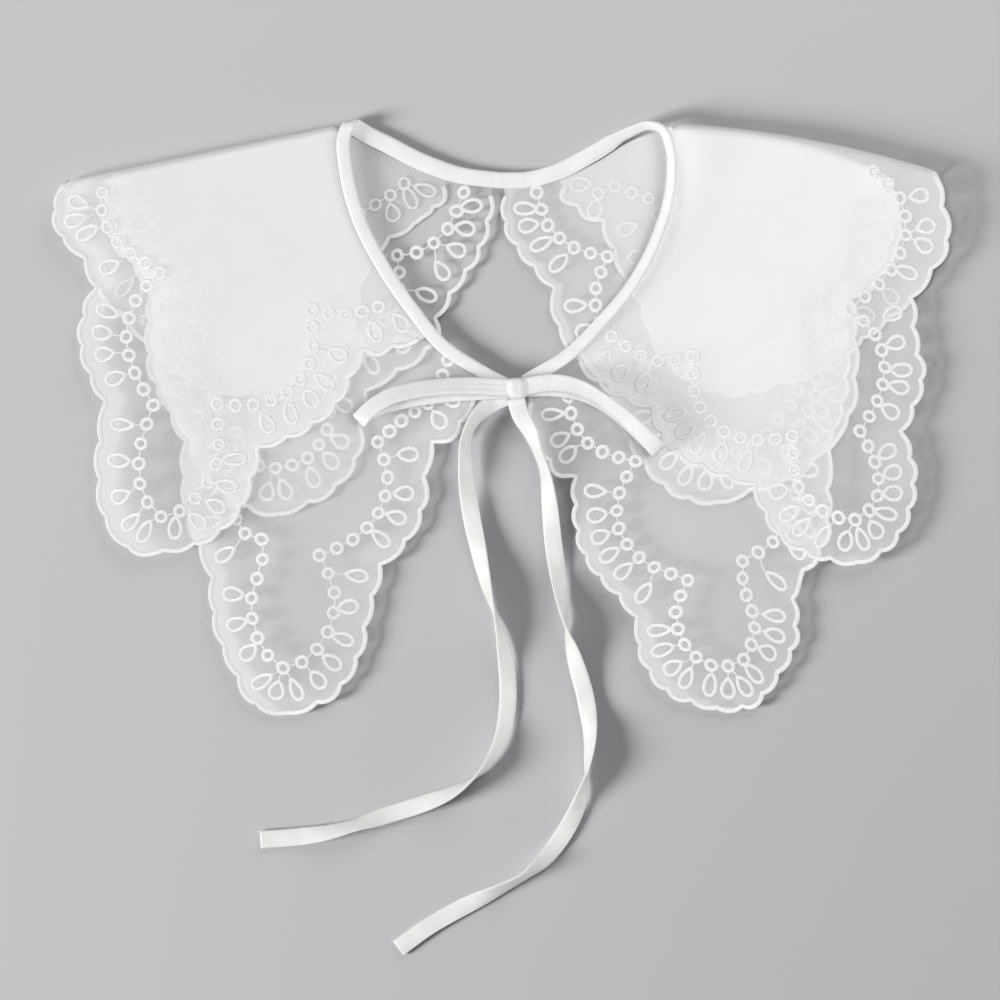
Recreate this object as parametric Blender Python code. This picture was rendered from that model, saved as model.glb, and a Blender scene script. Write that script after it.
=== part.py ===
"""Two-tier organza collar with a bound neck tied in a bow, laid out flat, front over back.

Tables are read on a flat sheet: steps of 0.45 mm, x to the right and y down.
Every tier half is one cloth, cut in a flat plane where the back is mirrored out
past the shoulder, then folded back under itself over that shoulder.
"""
import math
from collections import namedtuple

import bpy
import numpy as np
from mathutils import Vector
from mathutils.geometry import delaunay_2d_cdt

# Sizes in millimetres; the rest are shares
STEP = 0.45
CENTRE_X = 501.5
CENTRE_Y = 417.0
WALL = 1.0
PITCH = 1.35
BACK_UPPER_Z = 0.5
BACK_LOWER_Z = BACK_UPPER_Z + PITCH
FRONT_LOWER_Z = BACK_LOWER_Z + PITCH
FRONT_UPPER_Z = FRONT_LOWER_Z + PITCH
GRID = 11.0
GRID_ROWS = 0.87
CROWDED = 0.8
FOLD_END = 1.9
FOLD_MARGIN = 4.4
SCALLOP_RISE = 1.9
SCALLOP_BASE = 0.5
SCALLOP_CUTS = 4
FOLD_MARKS = (-1.0, -0.66, -0.33, 0.0, 0.33, 0.66, 1.0)
BINDING_BACK = 7.7
BINDING_FRONT = 5.9
BINDING_THICK = 2.0
BINDING_BACK_Z = 1.56
BINDING_FRONT_Z = 3.95
NARROW_Y = 96.0
WIDE_Y = 112.0
WIDE_Z = 3.4
TAPE_WIDTH = 8.0
TAPE_THICK = 1.2
TAPE_LIFT = 0.15
BINDING_LIFT = 0.05
ANGLE_SCALE = 0.05

Lobe = namedtuple("Lobe", "notch near low far scallops")
Wing = namedtuple("Wing", "side neck_end outer_end bow roll_neck roll_outer reach")
Rise = namedtuple("Rise", "x y across along height")
Station = namedtuple("Station", "x y z tilt")
Bend = namedtuple("Bend", "x y z heading tilt")

# Shoulder folds: a straight crease on the left, a slightly bowed rounder roll on the right
WINGS = {
    "left": Wing("left", (343, 124), (75, 179), 0.0, 1.4, 3.2, 26.0),
    "right": Wing("right", (668, 123), (937, 171), -3.8, 6.4, 4.0, 34.0),
}

# Soft rises of the two front layers, in sheet steps, height in mm
RISES = {
    "left": (
        Rise(215, 250, 95, 105, 5.0),
        Rise(297, 615, 46, 95, 3.4),
        Rise(150, 480, 42, 70, 2.4),
        Rise(293, 712, 40, 34, -2.0),
    ),
    "right": (
        Rise(765, 270, 105, 110, 4.5),
        Rise(715, 615, 52, 90, 3.0),
        Rise(855, 480, 44, 75, 2.6),
        Rise(720, 712, 44, 34, -2.0),
    ),
}

# A row per lobe of the edge: where it starts, three points along it, scallops in it
FRONT_UPPER_LEFT = (
    Lobe((421, 341), (408, 344), (390, 350), (377, 354), 2),
    Lobe((365, 352), (352, 377), (334, 408), (303, 432), 5),
    Lobe((260, 449), (252, 482), (238, 514), (203, 543), 5),
    Lobe((165, 553), (133, 552), (107, 524), (97, 470), 5),
    Lobe((103, 402), (88, 372), (80, 343), (84, 310), 4),
    Lobe((94, 288), (83, 260), (60, 235), (54, 212), 4),
)
FRONT_LOWER_LEFT = (
    Lobe((478, 391), (471, 407), (463, 424), (452, 438), 2),
    Lobe((435, 444), (428, 468), (425, 505), (405, 545), 4),
    Lobe((383, 566), (371, 610), (358, 661), (334, 696), 6),
    Lobe((288, 716), (254, 705), (233, 671), (214, 622), 5),
    Lobe((210, 578), (202, 555), (190, 528), (183, 490), 4),
    Lobe((183, 442), (166, 407), (150, 375), (147, 330), 5),
    Lobe((149, 290), (135, 268), (113, 243), (102, 212), 4),
)
FRONT_UPPER_RIGHT = (
    Lobe((578, 361), (590, 377), (608, 391), (630, 401), 3),
    Lobe((650, 408), (659, 432), (680, 457), (707, 471), 5),
    Lobe((753, 486), (762, 508), (780, 537), (815, 557), 5),
    Lobe((858, 565), (888, 549), (911, 510), (915, 470), 6),
    Lobe((904, 432), (917, 402), (924, 378), (917, 340), 5),
    Lobe((914, 299), (930, 276), (948, 244), (944, 205), 4),
)
FRONT_LOWER_RIGHT = (
    Lobe((528, 402), (533, 430), (544, 457), (556, 473), 3),
    Lobe((573, 478), (574, 511), (580, 545), (595, 572), 5),
    Lobe((618, 596), (635, 620), (639, 650), (664, 690), 6),
    Lobe((717, 711), (752, 707), (779, 676), (797, 640), 6),
    Lobe((796, 600), (800, 580), (815, 562), (828, 530), 4),
    Lobe((830, 490), (832, 450), (852, 412), (857, 360), 5),
    Lobe((853, 300), (874, 284), (893, 258), (899, 217), 4),
)
BACK_LOWER_LEFT = (
    Lobe((493, 194), (490, 222), (478, 256), (456, 289), 5),
    Lobe((438, 318), (438, 335), (420, 358), (395, 374), 3),
    Lobe((368, 392), (363, 418), (360, 452), (337, 487), 5),
    Lobe((277, 517), (245, 508), (216, 490), (196, 466), 4),
    Lobe((189, 440), (173, 415), (157, 375), (153, 330), 5),
    Lobe((155, 292), (141, 272), (119, 248), (108, 216), 4),
)
BACK_LOWER_RIGHT = (
    Lobe((504, 194), (504, 222), (520, 252), (538, 273), 4),
    Lobe((552, 288), (555, 318), (566, 342), (587, 364), 3),
    Lobe((608, 385), (622, 425), (645, 467), (680, 497), 6),
    Lobe((717, 505), (750, 493), (790, 480), (820, 456), 4),
    Lobe((836, 430), (845, 400), (848, 350), (845, 310), 5),
    Lobe((848, 296), (868, 280), (887, 254), (894, 216), 4),
)
BACK_UPPER_LEFT = (
    Lobe((446, 185), (443, 200), (432, 211), (421, 217), 2),
    Lobe((415, 226), (400, 233), (385, 244), (372, 262), 3),
    Lobe((360, 285), (350, 335), (325, 380), (290, 400), 6),
    Lobe((250, 395), (210, 390), (168, 366), (126, 322), 5),
    Lobe((94, 288), (83, 260), (60, 235), (54, 212), 4),
)
BACK_UPPER_RIGHT = (
    Lobe((562, 185), (562, 197), (574, 206), (585, 216), 2),
    Lobe((601, 222), (608, 240), (617, 262), (627, 284), 3),
    Lobe((640, 305), (657, 350), (692, 383), (735, 395), 6),
    Lobe((780, 385), (818, 372), (852, 350), (884, 324), 5),
    Lobe((914, 299), (930, 276), (948, 244), (944, 205), 4),
)

# The neck edge of the cloth on each panel, from the shoulder fold to the end of the panel
NECK_FRONT_LEFT = ((335.5, 128), (337.5, 165), (351, 220), (376, 269.5), (406.5, 315), (439.5, 354),
                   (478, 380))
NECK_FRONT_RIGHT = ((676, 131), (679.5, 160), (677, 196), (665, 237), (640.5, 286), (604, 331), (569, 366),
                    (528, 388))
NECK_BACK_LEFT = ((341, 136), (355, 139.5), (381.5, 153.5), (417, 170.5), (456.5, 184.5), (493, 190.5))
NECK_BACK_RIGHT = ((669, 131), (656, 138), (634, 146), (594, 168), (555, 185), (504, 191))

# The bound strip round the neck: the front left half on the crease, then the back, then the free right half
STRIP_FRONT_LEFT = ((500, 381.8), (473.5, 367), (444.5, 347.5), (412.5, 310), (382.5, 266), (358, 217.5),
                    (345, 164), (343.5, 140))
STRIP_BACK_LEFT = ((360, 130), (386.5, 143.8), (421, 161.3), (459, 174.6), (500, 180))
STRIP_RIGHT = (
    Station(530, 178.8, 1.25, 0),
    Station(556, 171.8, 1.4, 4),
    Station(594, 152.6, 2.3, 16),
    Station(629, 132, 4.4, 34),
    Station(649, 125.5, 6.4, 50),
    Station(662, 130, 8.0, 54),
    Station(669.5, 147, 8.8, 50),
    Station(671.5, 170, 8.8, 46),
    Station(669, 196, 8.2, 42),
    Station(657.5, 235, 7.4, 38),
    Station(633.5, 282, 6.4, 32),
    Station(597.5, 326, 5.2, 20),
    Station(563, 359, 4.5, 8),
    Station(534, 376, 4.2, 2),
)

# Free ties: tilt is the turn of the flat tape about its own length, in degrees
TAIL_LEFT = (
    Station(503.6, 399.5, 4.8, -2),
    Station(489, 405.5, 4.6, -7),
    Station(477, 416, 6.2, -42),
    Station(466, 438, 5.8, -56),
    Station(465, 468, 4.6, -40),
    Station(470, 508, 2.8, -6),
    Station(478, 548, 2.6, 22),
    Station(490, 600, 4.6, 72),
    Station(501, 636, 3.2, 122),
    Station(507, 672, 1.7, 160),
    Station(507, 712, 1.6, 165),
    Station(499, 745, 2.4, 140),
    Station(481, 772, 4.4, 106),
    Station(456, 790, 3.2, 60),
    Station(420, 805, 1.3, 14),
    Station(388, 815, 1.2, 10),
    Station(356, 825, 2.6, 50),
    Station(330, 832, 2.2, 36),
    Station(298, 837, 1.1, 6),
    Station(260, 840, 1.0, 2),
)
TAIL_RIGHT = (
    Station(516.5, 402.8, 4.9, 2),
    Station(520, 414, 5.3, 10),
    Station(530, 432, 5.6, 34),
    Station(537, 450, 5.4, 60),
    Station(545, 472, 5.0, 58),
    Station(549, 500, 3.8, 30),
    Station(553, 540, 2.0, 4),
    Station(560, 590, 3.0, -40),
    Station(565, 622, 4.8, -80),
    Station(575, 660, 2.6, -150),
    Station(586, 700, 1.6, -174),
    Station(590, 735, 2.8, -138),
    Station(587, 766, 4.6, -104),
    Station(578, 806, 2.2, -30),
    Station(553, 849, 1.4, -10),
    Station(524, 876, 3.6, -62),
    Station(500, 889, 3.2, -50),
    Station(462, 908, 1.3, -8),
    Station(430, 926, 1.1, 0),
    Station(398, 949, 1.0, 0),
)
LOOP_LEFT = (
    Bend(506.2, 388, 9.2, 90, -4),
    Bend(472, 386, 10.0, 90, -12),
    Bend(440, 387, 10.8, 92, -18),
    Bend(412, 391, 11.2, 97, -20),
    Bend(388, 398, 11.2, 108, -20),
    Bend(371, 409, 11.0, 122, -20),
    Bend(362, 418, 10.6, 131, -16),
    Bend(360.3, 420.1, 10.15, 132, -12),
    Bend(359.6, 421, 9.0, 132, -10),
    Bend(360.3, 420.1, 7.85, 132, -12),
    Bend(362, 418, 7.4, 131, -16),
    Bend(374, 410, 7.0, 122, -20),
    Bend(398, 402, 6.9, 104, -18),
    Bend(430, 396, 6.8, 94, -12),
    Bend(470, 392, 6.5, 90, -4),
    Bend(506.2, 390, 6.4, 90, -2),
)
LOOP_RIGHT = (
    Bend(528, 386, 9.3, 90, 2),
    Bend(552, 383, 10.4, 86, 12),
    Bend(578, 387.5, 11.4, 72, 30),
    Bend(600, 399, 11.9, 58, 44),
    Bend(620, 414, 11.9, 49, 38),
    Bend(640, 432, 11.6, 45, 28),
    Bend(656.5, 448.5, 10.6, 44, 14),
    Bend(658.2, 450.2, 10.15, 44, 12),
    Bend(658.9, 450.9, 9.0, 44, 10),
    Bend(658.2, 450.2, 7.85, 44, 12),
    Bend(656.5, 448.5, 7.4, 44, 14),
    Bend(640, 433, 7.2, 45, 28),
    Bend(620, 416, 7.8, 49, 36),
    Bend(600, 402, 8.1, 58, 38),
    Bend(578, 392, 7.4, 72, 24),
    Bend(555, 388, 6.8, 86, 8),
    Bend(527.8, 387, 6.4, 90, 2),
)
KNOT_CENTRE = (517, 389, 7.7)
KNOT_HALF = (4.4, 5.2, 3.3)


def plan(point):
    """Sheet steps to millimetres, x right and y up, about the collar's middle."""
    return np.array(((point[0] - CENTRE_X) * STEP, (CENTRE_Y - point[1]) * STEP))


def smooth_curve(points, cuts):
    """A curve through every point, with tangents set by the distances between them."""
    points = [np.asarray(p, dtype=float) for p in points]
    chords = [max(np.linalg.norm(b - a), 1e-6) for a, b in zip(points, points[1:])]
    slopes = []
    for i in range(len(points)):
        if i == 0:
            slopes.append((points[1] - points[0]) / chords[0])
        elif i == len(points) - 1:
            slopes.append((points[-1] - points[-2]) / chords[-1])
        else:
            before = (points[i] - points[i - 1]) / chords[i - 1]
            after = (points[i + 1] - points[i]) / chords[i]
            share = chords[i - 1] / (chords[i - 1] + chords[i])
            slopes.append(before * (1 - share) + after * share)
    out = [points[0]]
    for i, chord in enumerate(chords):
        for step in range(1, cuts + 1):
            u = step / cuts
            h1 = 2 * u ** 3 - 3 * u ** 2 + 1
            h2 = u ** 3 - 2 * u ** 2 + u
            h3 = -2 * u ** 3 + 3 * u ** 2
            h4 = u ** 3 - u ** 2
            start = h1 * points[i] + h2 * chord * slopes[i]
            out.append(start + h3 * points[i + 1] + h4 * chord * slopes[i + 1])
    return np.array(out)


def resample(curve, count):
    """Count + 1 points at even distances along a curve."""
    steps = np.linalg.norm(np.diff(curve, axis=0), axis=1)
    along = np.concatenate(([0.0], np.cumsum(steps)))
    marks = np.linspace(0.0, along[-1], count + 1)
    return np.stack([np.interp(marks, along, curve[:, k]) for k in range(curve.shape[1])], axis=1)


def scalloped(lobes, last, outward):
    """The lobed edge with its scallops, in millimetres."""
    edge = []
    for i, lobe in enumerate(lobes):
        following = lobes[i + 1].notch if i + 1 < len(lobes) else last
        points = [plan(p) for p in (lobe.notch, lobe.near, lobe.low, lobe.far, following)]
        curve = resample(smooth_curve(points, 16), lobe.scallops * SCALLOP_CUTS)
        tangent = np.gradient(curve, axis=0)
        tangent /= np.linalg.norm(tangent, axis=1)[:, None]
        normal = np.stack((tangent[:, 1], -tangent[:, 0]), axis=1) * outward
        for k in range(len(curve) - (1 if i + 1 < len(lobes) else 0)):
            phase = (k % SCALLOP_CUTS) / SCALLOP_CUTS
            rise = SCALLOP_RISE * math.sin(math.pi * phase) ** 0.75 - SCALLOP_BASE
            edge.append(curve[k] + normal[k] * rise)
    return edge


class Fold:
    """The shoulder of one side: turns cut-plane points into places in the folded collar."""

    def __init__(self, wing, inset, back_z, front_z):
        self.wing = wing
        self.origin = plan(wing.neck_end)
        outer = plan(wing.outer_end)
        self.length = float(np.linalg.norm(outer - self.origin))
        self.along = (outer - self.origin) / self.length
        self.inward = np.array((self.along[1], -self.along[0]))
        if self.inward[1] > 0:
            self.inward = -self.inward
        self.inset = inset
        self.back_z = back_z
        self.front_z = front_z

    def crease(self, s):
        """Distance of the fold's own edge from the straight line between its ends."""
        u = min(max(s / self.length, 0.0), 1.0)
        return self.wing.bow * 4 * u * (1 - u) + self.inset(u)

    def lift_at_crease(self, s):
        u = min(max(s / self.length, 0.0), 1.0)
        return self.wing.roll_neck + (self.wing.roll_outer - self.wing.roll_neck) * u

    def radius(self, s):
        return (self.front_z - self.back_z + self.lift_at_crease(s)) / 2

    def flat(self, point, front=True):
        """A place on the laid-out collar to its place in the cut plane."""
        offset = np.asarray(point, dtype=float) - self.origin
        s = float(offset @ self.along)
        depth = float(offset @ self.inward) - self.crease(s)
        return np.array((s, depth if front else -depth))

    def lift(self, x, y, s):
        depth = float((np.array((x, y)) - self.origin) @ self.inward)
        depth += self.inset(s / self.length) - self.crease(s)
        total = self.lift_at_crease(s) * math.exp(-(max(depth, 0.0) / self.wing.reach) ** 2)
        for rise in RISES[self.wing.side]:
            cx, cy = plan((rise.x, rise.y))
            dx = (x - cx) / (rise.across * STEP)
            dy = (y - cy) / (rise.along * STEP)
            total += rise.height * math.exp(-(dx * dx + dy * dy) * 1.2)
        return total

    def place(self, s, t):
        """A cut-plane point to the middle of the wall, folded."""
        radius = self.radius(s)
        reach = abs(t)
        turn = 1.0 if t >= 0 else -1.0
        if reach < radius:
            angle = math.pi / 2 * t / radius
            depth = radius * (1 - math.cos(angle))
            end_depth = radius
        else:
            angle = math.pi / 2 * turn
            depth = reach
            end_depth = reach
        q = self.crease(s) + depth
        x, y = self.origin + self.along * s + self.inward * q
        q_end = self.crease(s) + end_depth
        ex, ey = self.origin + self.along * s + self.inward * q_end
        top = self.front_z + self.lift(ex, ey, s)
        share = (1 + math.sin(angle)) / 2
        return np.array((x, y, self.back_z + (top - self.back_z) * share))


def inside(points, polygon):
    """Which points lie inside a closed polygon."""
    result = np.zeros(len(points), dtype=bool)
    for i in range(len(polygon)):
        ax, ay = polygon[i]
        bx, by = polygon[i - 1]
        cross = (ay > points[:, 1]) != (by > points[:, 1])
        with np.errstate(divide="ignore", invalid="ignore"):
            meet = (bx - ax) * (points[:, 1] - ay) / (by - ay) + ax
        result ^= cross & (points[:, 0] < meet)
    return result


def clear_of(points, polygon, distance):
    """Which points stay a distance away from a polygon's edge."""
    nearest = np.full(len(points), 1e9)
    for i in range(len(polygon)):
        a = polygon[i - 1]
        b = polygon[i]
        run = b - a
        share = np.clip(((points - a) @ run) / max(run @ run, 1e-9), 0, 1)
        nearest = np.minimum(nearest, np.linalg.norm(points - (a + share[:, None] * run), axis=1))
    return nearest > distance


def build_object(name, vertices, faces, material):
    mesh = bpy.data.meshes.new(name)
    mesh.from_pydata([tuple(float(c) * 0.001 for c in v) for v in vertices], [], faces)
    mesh.validate()
    mesh.update()
    item = bpy.data.objects.new(name, mesh)
    bpy.context.collection.objects.link(item)
    mesh.materials.append(material)
    return item


def tier_half(name, side, tier, front, back, neck_front, neck_back, corner, inset, material):
    """One cloth of the collar as a closed wall, folded over the shoulder."""
    low, high = (BACK_UPPER_Z, FRONT_UPPER_Z) if tier == "upper" else (BACK_LOWER_Z, FRONT_LOWER_Z)
    fold = Fold(WINGS[side], inset, low, high)
    outward = 1.0 if side == "left" else -1.0
    front_edge = [fold.flat(p) for p in scalloped(front, corner, -outward)]
    back_edge = [fold.flat(p, False) for p in scalloped(back, corner, -outward)]
    front_edge[-1] = np.array((front_edge[-1][0], 0.0))
    neck_f = resample(smooth_curve([plan(p) for p in neck_front], 12), max(len(neck_front) * 4, 8))
    neck_b = resample(smooth_curve([plan(p) for p in neck_back], 12), max(len(neck_back) * 3, 8))
    neck_front_flat = [fold.flat(p) for p in neck_f if np.linalg.norm(p - plan(front[0].notch)) > 3.0]
    neck_back_flat = [fold.flat(p, False) for p in neck_b if np.linalg.norm(p - plan(back[0].notch)) > 3.0]
    neck_front_flat = trim_at(neck_front_flat, fold.flat(plan(front[0].notch)), True)
    neck_back_flat = trim_at(neck_back_flat, fold.flat(plan(back[0].notch), False), False)
    loop = list(neck_front_flat) + front_edge
    loop += list(reversed(back_edge[:-1]))
    loop += list(reversed(neck_back_flat))
    polygon = clean_loop(loop, fold)
    return wall_from_plane(name, polygon, fold, material)


def trim_at(points, end, front):
    """Drop the neck points that run on past the panel's end."""
    distances = [np.linalg.norm(p - end) for p in points]
    return points[:int(np.argmin(distances)) + 1]


def clean_loop(loop, fold):
    """Leave out points that crowd the one before, and follow the fold closely where the edge crosses it."""
    kept = []
    for point in loop:
        if not kept or np.linalg.norm(point - kept[-1]) > CROWDED:
            kept.append(point)
    if np.linalg.norm(kept[0] - kept[-1]) < CROWDED:
        kept.pop()
    full = []
    for i, point in enumerate(kept):
        following = kept[(i + 1) % len(kept)]
        full.append(point)
        radius = fold.radius(point[0])
        if min(abs(point[1]), abs(following[1])) > radius and point[1] * following[1] > 0:
            continue
        marks = [radius * part for part in FOLD_MARKS]
        if point[1] > following[1]:
            marks.reverse()
        for mark in marks:
            share = (mark - point[1]) / (following[1] - point[1]) if following[1] != point[1] else -1.0
            if 0.08 < share < 0.92:
                new = point + (following - point) * share
                if np.linalg.norm(new - full[-1]) > 0.35 and np.linalg.norm(new - following) > 0.35:
                    full.append(new)
    return np.array(full)


def wall_from_plane(name, polygon, fold, material):
    """A closed wall over the polygon: an even net of points, and rows along the fold."""
    low = polygon.min(axis=0)
    high = polygon.max(axis=0)
    points = []
    row = 0
    t = math.floor(low[1] / GRID) * GRID
    while t < high[1]:
        shift = GRID / 2 if row % 2 else 0.0
        s = math.floor(low[0] / GRID) * GRID + shift
        while s < high[0]:
            points.append((s, t))
            s += GRID
        t += GRID * GRID_ROWS
        row += 1
    points = np.array([p for p in points if abs(p[1]) > fold.radius(p[0]) + GRID * 0.45])
    crossing = [p[0] for p in polygon if abs(p[1]) < fold.radius(p[0]) * 1.05]
    first = max(s for s in crossing if s < fold.length / 2)
    last = min(s for s in crossing if s > fold.length / 2)
    count = int((last - first - 2 * FOLD_MARGIN) / (GRID * 0.85)) + 1
    between = np.linspace(first + FOLD_MARGIN, last - FOLD_MARGIN, count)
    rows = []
    for s in (first + FOLD_END, *between, last - FOLD_END):
        for part in FOLD_MARKS:
            rows.append((s, fold.radius(s) * part))
    rows = np.array(rows)
    points = points[inside(points, polygon) & clear_of(points, polygon, GRID * 0.42)]
    rows = rows[inside(rows, polygon) & clear_of(rows, polygon, 0.9)]
    everything = np.concatenate((polygon, points, rows))
    edges = [(i, (i + 1) % len(polygon)) for i in range(len(polygon))]
    result = delaunay_2d_cdt([Vector(p) for p in everything], edges, [], 1, 1e-5)
    flat_points = [np.array(p) for p in result[0]]
    triangles = [tuple(f) for f in result[2]]
    middle = np.array([fold.place(p[0], p[1]) for p in flat_points])
    normal = np.zeros_like(middle)
    oriented = []
    for a, b, c in triangles:
        turn = np.cross(flat_points[b] - flat_points[a], flat_points[c] - flat_points[a])
        oriented.append((a, b, c) if turn > 0 else (a, c, b))
    for a, b, c in oriented:
        face = np.cross(middle[b] - middle[a], middle[c] - middle[a])
        for k in (a, b, c):
            normal[k] += face
    normal /= np.linalg.norm(normal, axis=1)[:, None]
    count = len(middle)
    vertices = np.concatenate((middle + normal * WALL / 2, middle - normal * WALL / 2))
    faces = [tuple(f) for f in oriented]
    faces += [(a + count, c + count, b + count) for a, b, c in oriented]
    sides = {}
    for a, b, c in oriented:
        for pair in ((a, b), (b, c), (c, a)):
            sides[pair] = sides.get(pair, 0) + 1
    for a, b in sides:
        if (b, a) not in sides:
            faces.append((b, a, a + count))
            faces.append((b, a + count, b + count))
    return build_object(name, vertices, faces, material)


def tape_sections(places, width, thick, edges, tangent):
    """Closed strip: edges gives the half-width direction at each place."""
    vertices = []
    faces = []
    count = len(places)
    tangent = tangent / np.linalg.norm(tangent, axis=1)[:, None]
    widths = np.broadcast_to(width, count)
    for i in range(count):
        side = edges[i] - tangent[i] * float(edges[i] @ tangent[i])
        side /= np.linalg.norm(side)
        up = np.cross(tangent[i], side)
        half = widths[i] / 2
        deep = thick / 2
        soft = thick * 0.32
        outline = (
            (half - soft * 0.4, deep * 0.0), (half - soft, deep), (0.0, deep * 1.04), (soft - half, deep),
            (soft * 0.4 - half, deep * 0.0), (soft - half, -deep), (0.0, -deep * 1.04), (half - soft, -deep),
        )
        for a, b in outline:
            vertices.append(places[i] + side * a + up * b)
    ring = 8
    for i in range(count - 1):
        for k in range(ring):
            n = (k + 1) % ring
            a = i * ring + k
            b = i * ring + n
            c = (i + 1) * ring + n
            d = (i + 1) * ring + k
            faces.append((a, b, c))
            faces.append((a, c, d))
    for k in range(1, ring - 1):
        faces.append((0, k + 1, k))
        last = (count - 1) * ring
        faces.append((last, last + k, last + k + 1))
    return vertices, faces


def thinned(curve, longest, most_turn):
    """Leave out places along a straight run, keep them where the curve bends."""
    kept = [0]
    for i in range(1, len(curve) - 1):
        ahead = curve[i + 1][:3] - curve[i][:3]
        before = curve[kept[-1] + 1][:3] - curve[kept[-1]][:3]
        cosine = float(ahead @ before) / (np.linalg.norm(ahead) * np.linalg.norm(before))
        turn = math.degrees(math.acos(max(-1.0, min(1.0, cosine))))
        twist = abs(curve[i][3] - curve[kept[-1]][3]) / ANGLE_SCALE
        run = np.linalg.norm(curve[i][:3] - curve[kept[-1]][:3])
        if run > longest or turn > most_turn or twist > most_turn * 1.4:
            kept.append(i)
    kept.append(len(curve) - 1)
    return curve[kept]


def tape(name, stations, width, thick, material, gap=5.0):
    """A flat tape through its stations, turned about its length by their tilt."""
    bent = hasattr(stations[0], "heading")
    rows = [(*plan((s.x, s.y)), s.z, s.tilt * ANGLE_SCALE, (s.heading if bent else 0.0) * ANGLE_SCALE)
            for s in stations]
    curve = smooth_curve(rows, 12)
    length = float(np.sum(np.linalg.norm(np.diff(curve[:, :3], axis=0), axis=1)))
    curve = resample(curve, int(length / 0.7))
    slope = np.gradient(curve[:, :3], axis=0)
    curve = thinned(np.concatenate((curve, slope), axis=1), gap, 14.0)
    places = curve[:, :3].copy()
    tangent = curve[:, 5:]
    edges = []
    for i in range(len(places)):
        angle = math.radians(curve[i][3] / ANGLE_SCALE)
        turn = math.radians(curve[i][4] / ANGLE_SCALE)
        level = np.array((math.cos(turn), math.sin(turn), 0.0))
        if not bent:
            level = np.array((-tangent[i][1], tangent[i][0], 0.0))
            level /= np.linalg.norm(level)
        edges.append(level * math.cos(angle) + np.array((0.0, 0.0, 1.0)) * math.sin(angle))
        floor = abs(math.sin(angle)) * width / 2 + abs(math.cos(angle)) * thick / 2 + TAPE_LIFT
        places[i][2] = max(places[i][2], floor)
    vertices, faces = tape_sections(places, width, thick, np.array(edges), tangent)
    return build_object(name, vertices, faces, material)


def neck_strip(material):
    """The bound strip: folded over the left shoulder, standing round the right one."""
    fold = Fold(WINGS["left"], lambda u: 0.0, BINDING_BACK_Z, BINDING_FRONT_Z)
    path = [fold.flat(plan(p)) for p in STRIP_FRONT_LEFT]
    path += [fold.flat(plan(p), False) for p in STRIP_BACK_LEFT]
    curve = smooth_curve(path, 14)
    length = float(np.sum(np.linalg.norm(np.diff(curve, axis=0), axis=1)))
    curve = resample(curve, int(length / 2.2))
    kept = []
    for i, point in enumerate(curve):
        if i % 2 == 0 or abs(point[1]) < 9.0:
            kept.append(point)
    curve = np.array(kept)
    slope = np.gradient(curve, axis=0)
    slope /= np.linalg.norm(slope, axis=1)[:, None]
    places = []
    edges = []
    for point, run in zip(curve, slope):
        across = np.array((-run[1], run[0]))
        places.append(fold.place(*point))
        edges.append(fold.place(*(point + across * 1.5)) - fold.place(*(point - across * 1.5)))
    rows = [(*plan((s.x, s.y)), s.z, s.tilt * ANGLE_SCALE) for s in STRIP_RIGHT]
    right = smooth_curve([(*places[-1], 0.0)] + rows, 12)
    length = float(np.sum(np.linalg.norm(np.diff(right[:, :3], axis=0), axis=1)))
    right = resample(right, int(length / 4.6))[1:]
    run = np.gradient(right[:, :3], axis=0)
    last_edge = edges[-1] / np.linalg.norm(edges[-1])
    for i in range(len(right)):
        level = np.array((-run[i][1], run[i][0], 0.0))
        level /= np.linalg.norm(level)
        if i == 0 and float(level @ last_edge) < 0:
            turned = -1.0
        elif i == 0:
            turned = 1.0
        angle = math.radians(right[i][3] / ANGLE_SCALE)
        floor = math.sin(angle) * BINDING_BACK / 2 + math.cos(angle) * BINDING_THICK / 2 + BINDING_LIFT
        places.append((right[i][0], right[i][1], max(right[i][2], floor)))
        edges.append(turned * level * math.cos(angle) + turned * np.array((0.0, 0.0, 1.0)) * math.sin(angle))
    places = np.array(places)
    edges = np.array(edges)
    share = np.clip((places[:, 1] - NARROW_Y) / (WIDE_Y - NARROW_Y), 0, 1) * (places[:, 2] < WIDE_Z)
    share = np.convolve(np.pad(share, 2, mode="edge"), np.full(5, 0.2), "valid")
    widths = BINDING_FRONT + (BINDING_BACK - BINDING_FRONT) * share
    vertices, faces = tape_sections(places, widths, BINDING_THICK, edges, np.gradient(places, axis=0))
    return build_object("neck_binding", vertices, faces, material)


def knot(material):
    """The wrapped knot: a soft pillow with a waist where the wrap pulls in."""
    cx, cy = plan(KNOT_CENTRE[:2])
    cz = KNOT_CENTRE[2]
    hx, hy, hz = KNOT_HALF
    rings = 12
    around = 20
    vertices = []
    faces = []
    for i in range(rings + 1):
        v = -1 + 2 * i / rings
        shrink = (1 - abs(v) ** 3.2) ** (1 / 3.2) if abs(v) < 1 else 0.0
        if i in (0, rings):
            vertices.append((cx, cy + hy * v, cz))
            continue
        for k in range(around):
            a = 2 * math.pi * k / around
            ca = math.copysign(abs(math.cos(a)) ** 0.7, math.cos(a))
            sa = math.copysign(abs(math.sin(a)) ** 0.7, math.sin(a))
            pinch = 1 + 0.06 * abs(v)
            vertices.append((cx + hx * shrink * ca * pinch, cy + hy * v, cz + hz * shrink * sa))
    for i in range(1, rings - 1):
        for k in range(around):
            n = (k + 1) % around
            a = 1 + (i - 1) * around + k
            b = 1 + (i - 1) * around + n
            faces.append((a, a + around, b))
            faces.append((b, a + around, b + around))
    end = len(vertices) - 1
    for k in range(around):
        n = (k + 1) % around
        faces.append((0, 1 + k, 1 + n))
        faces.append((end, end - around + n, end - around + k))
    return build_object("bow_knot", vertices, faces, material)


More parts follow.
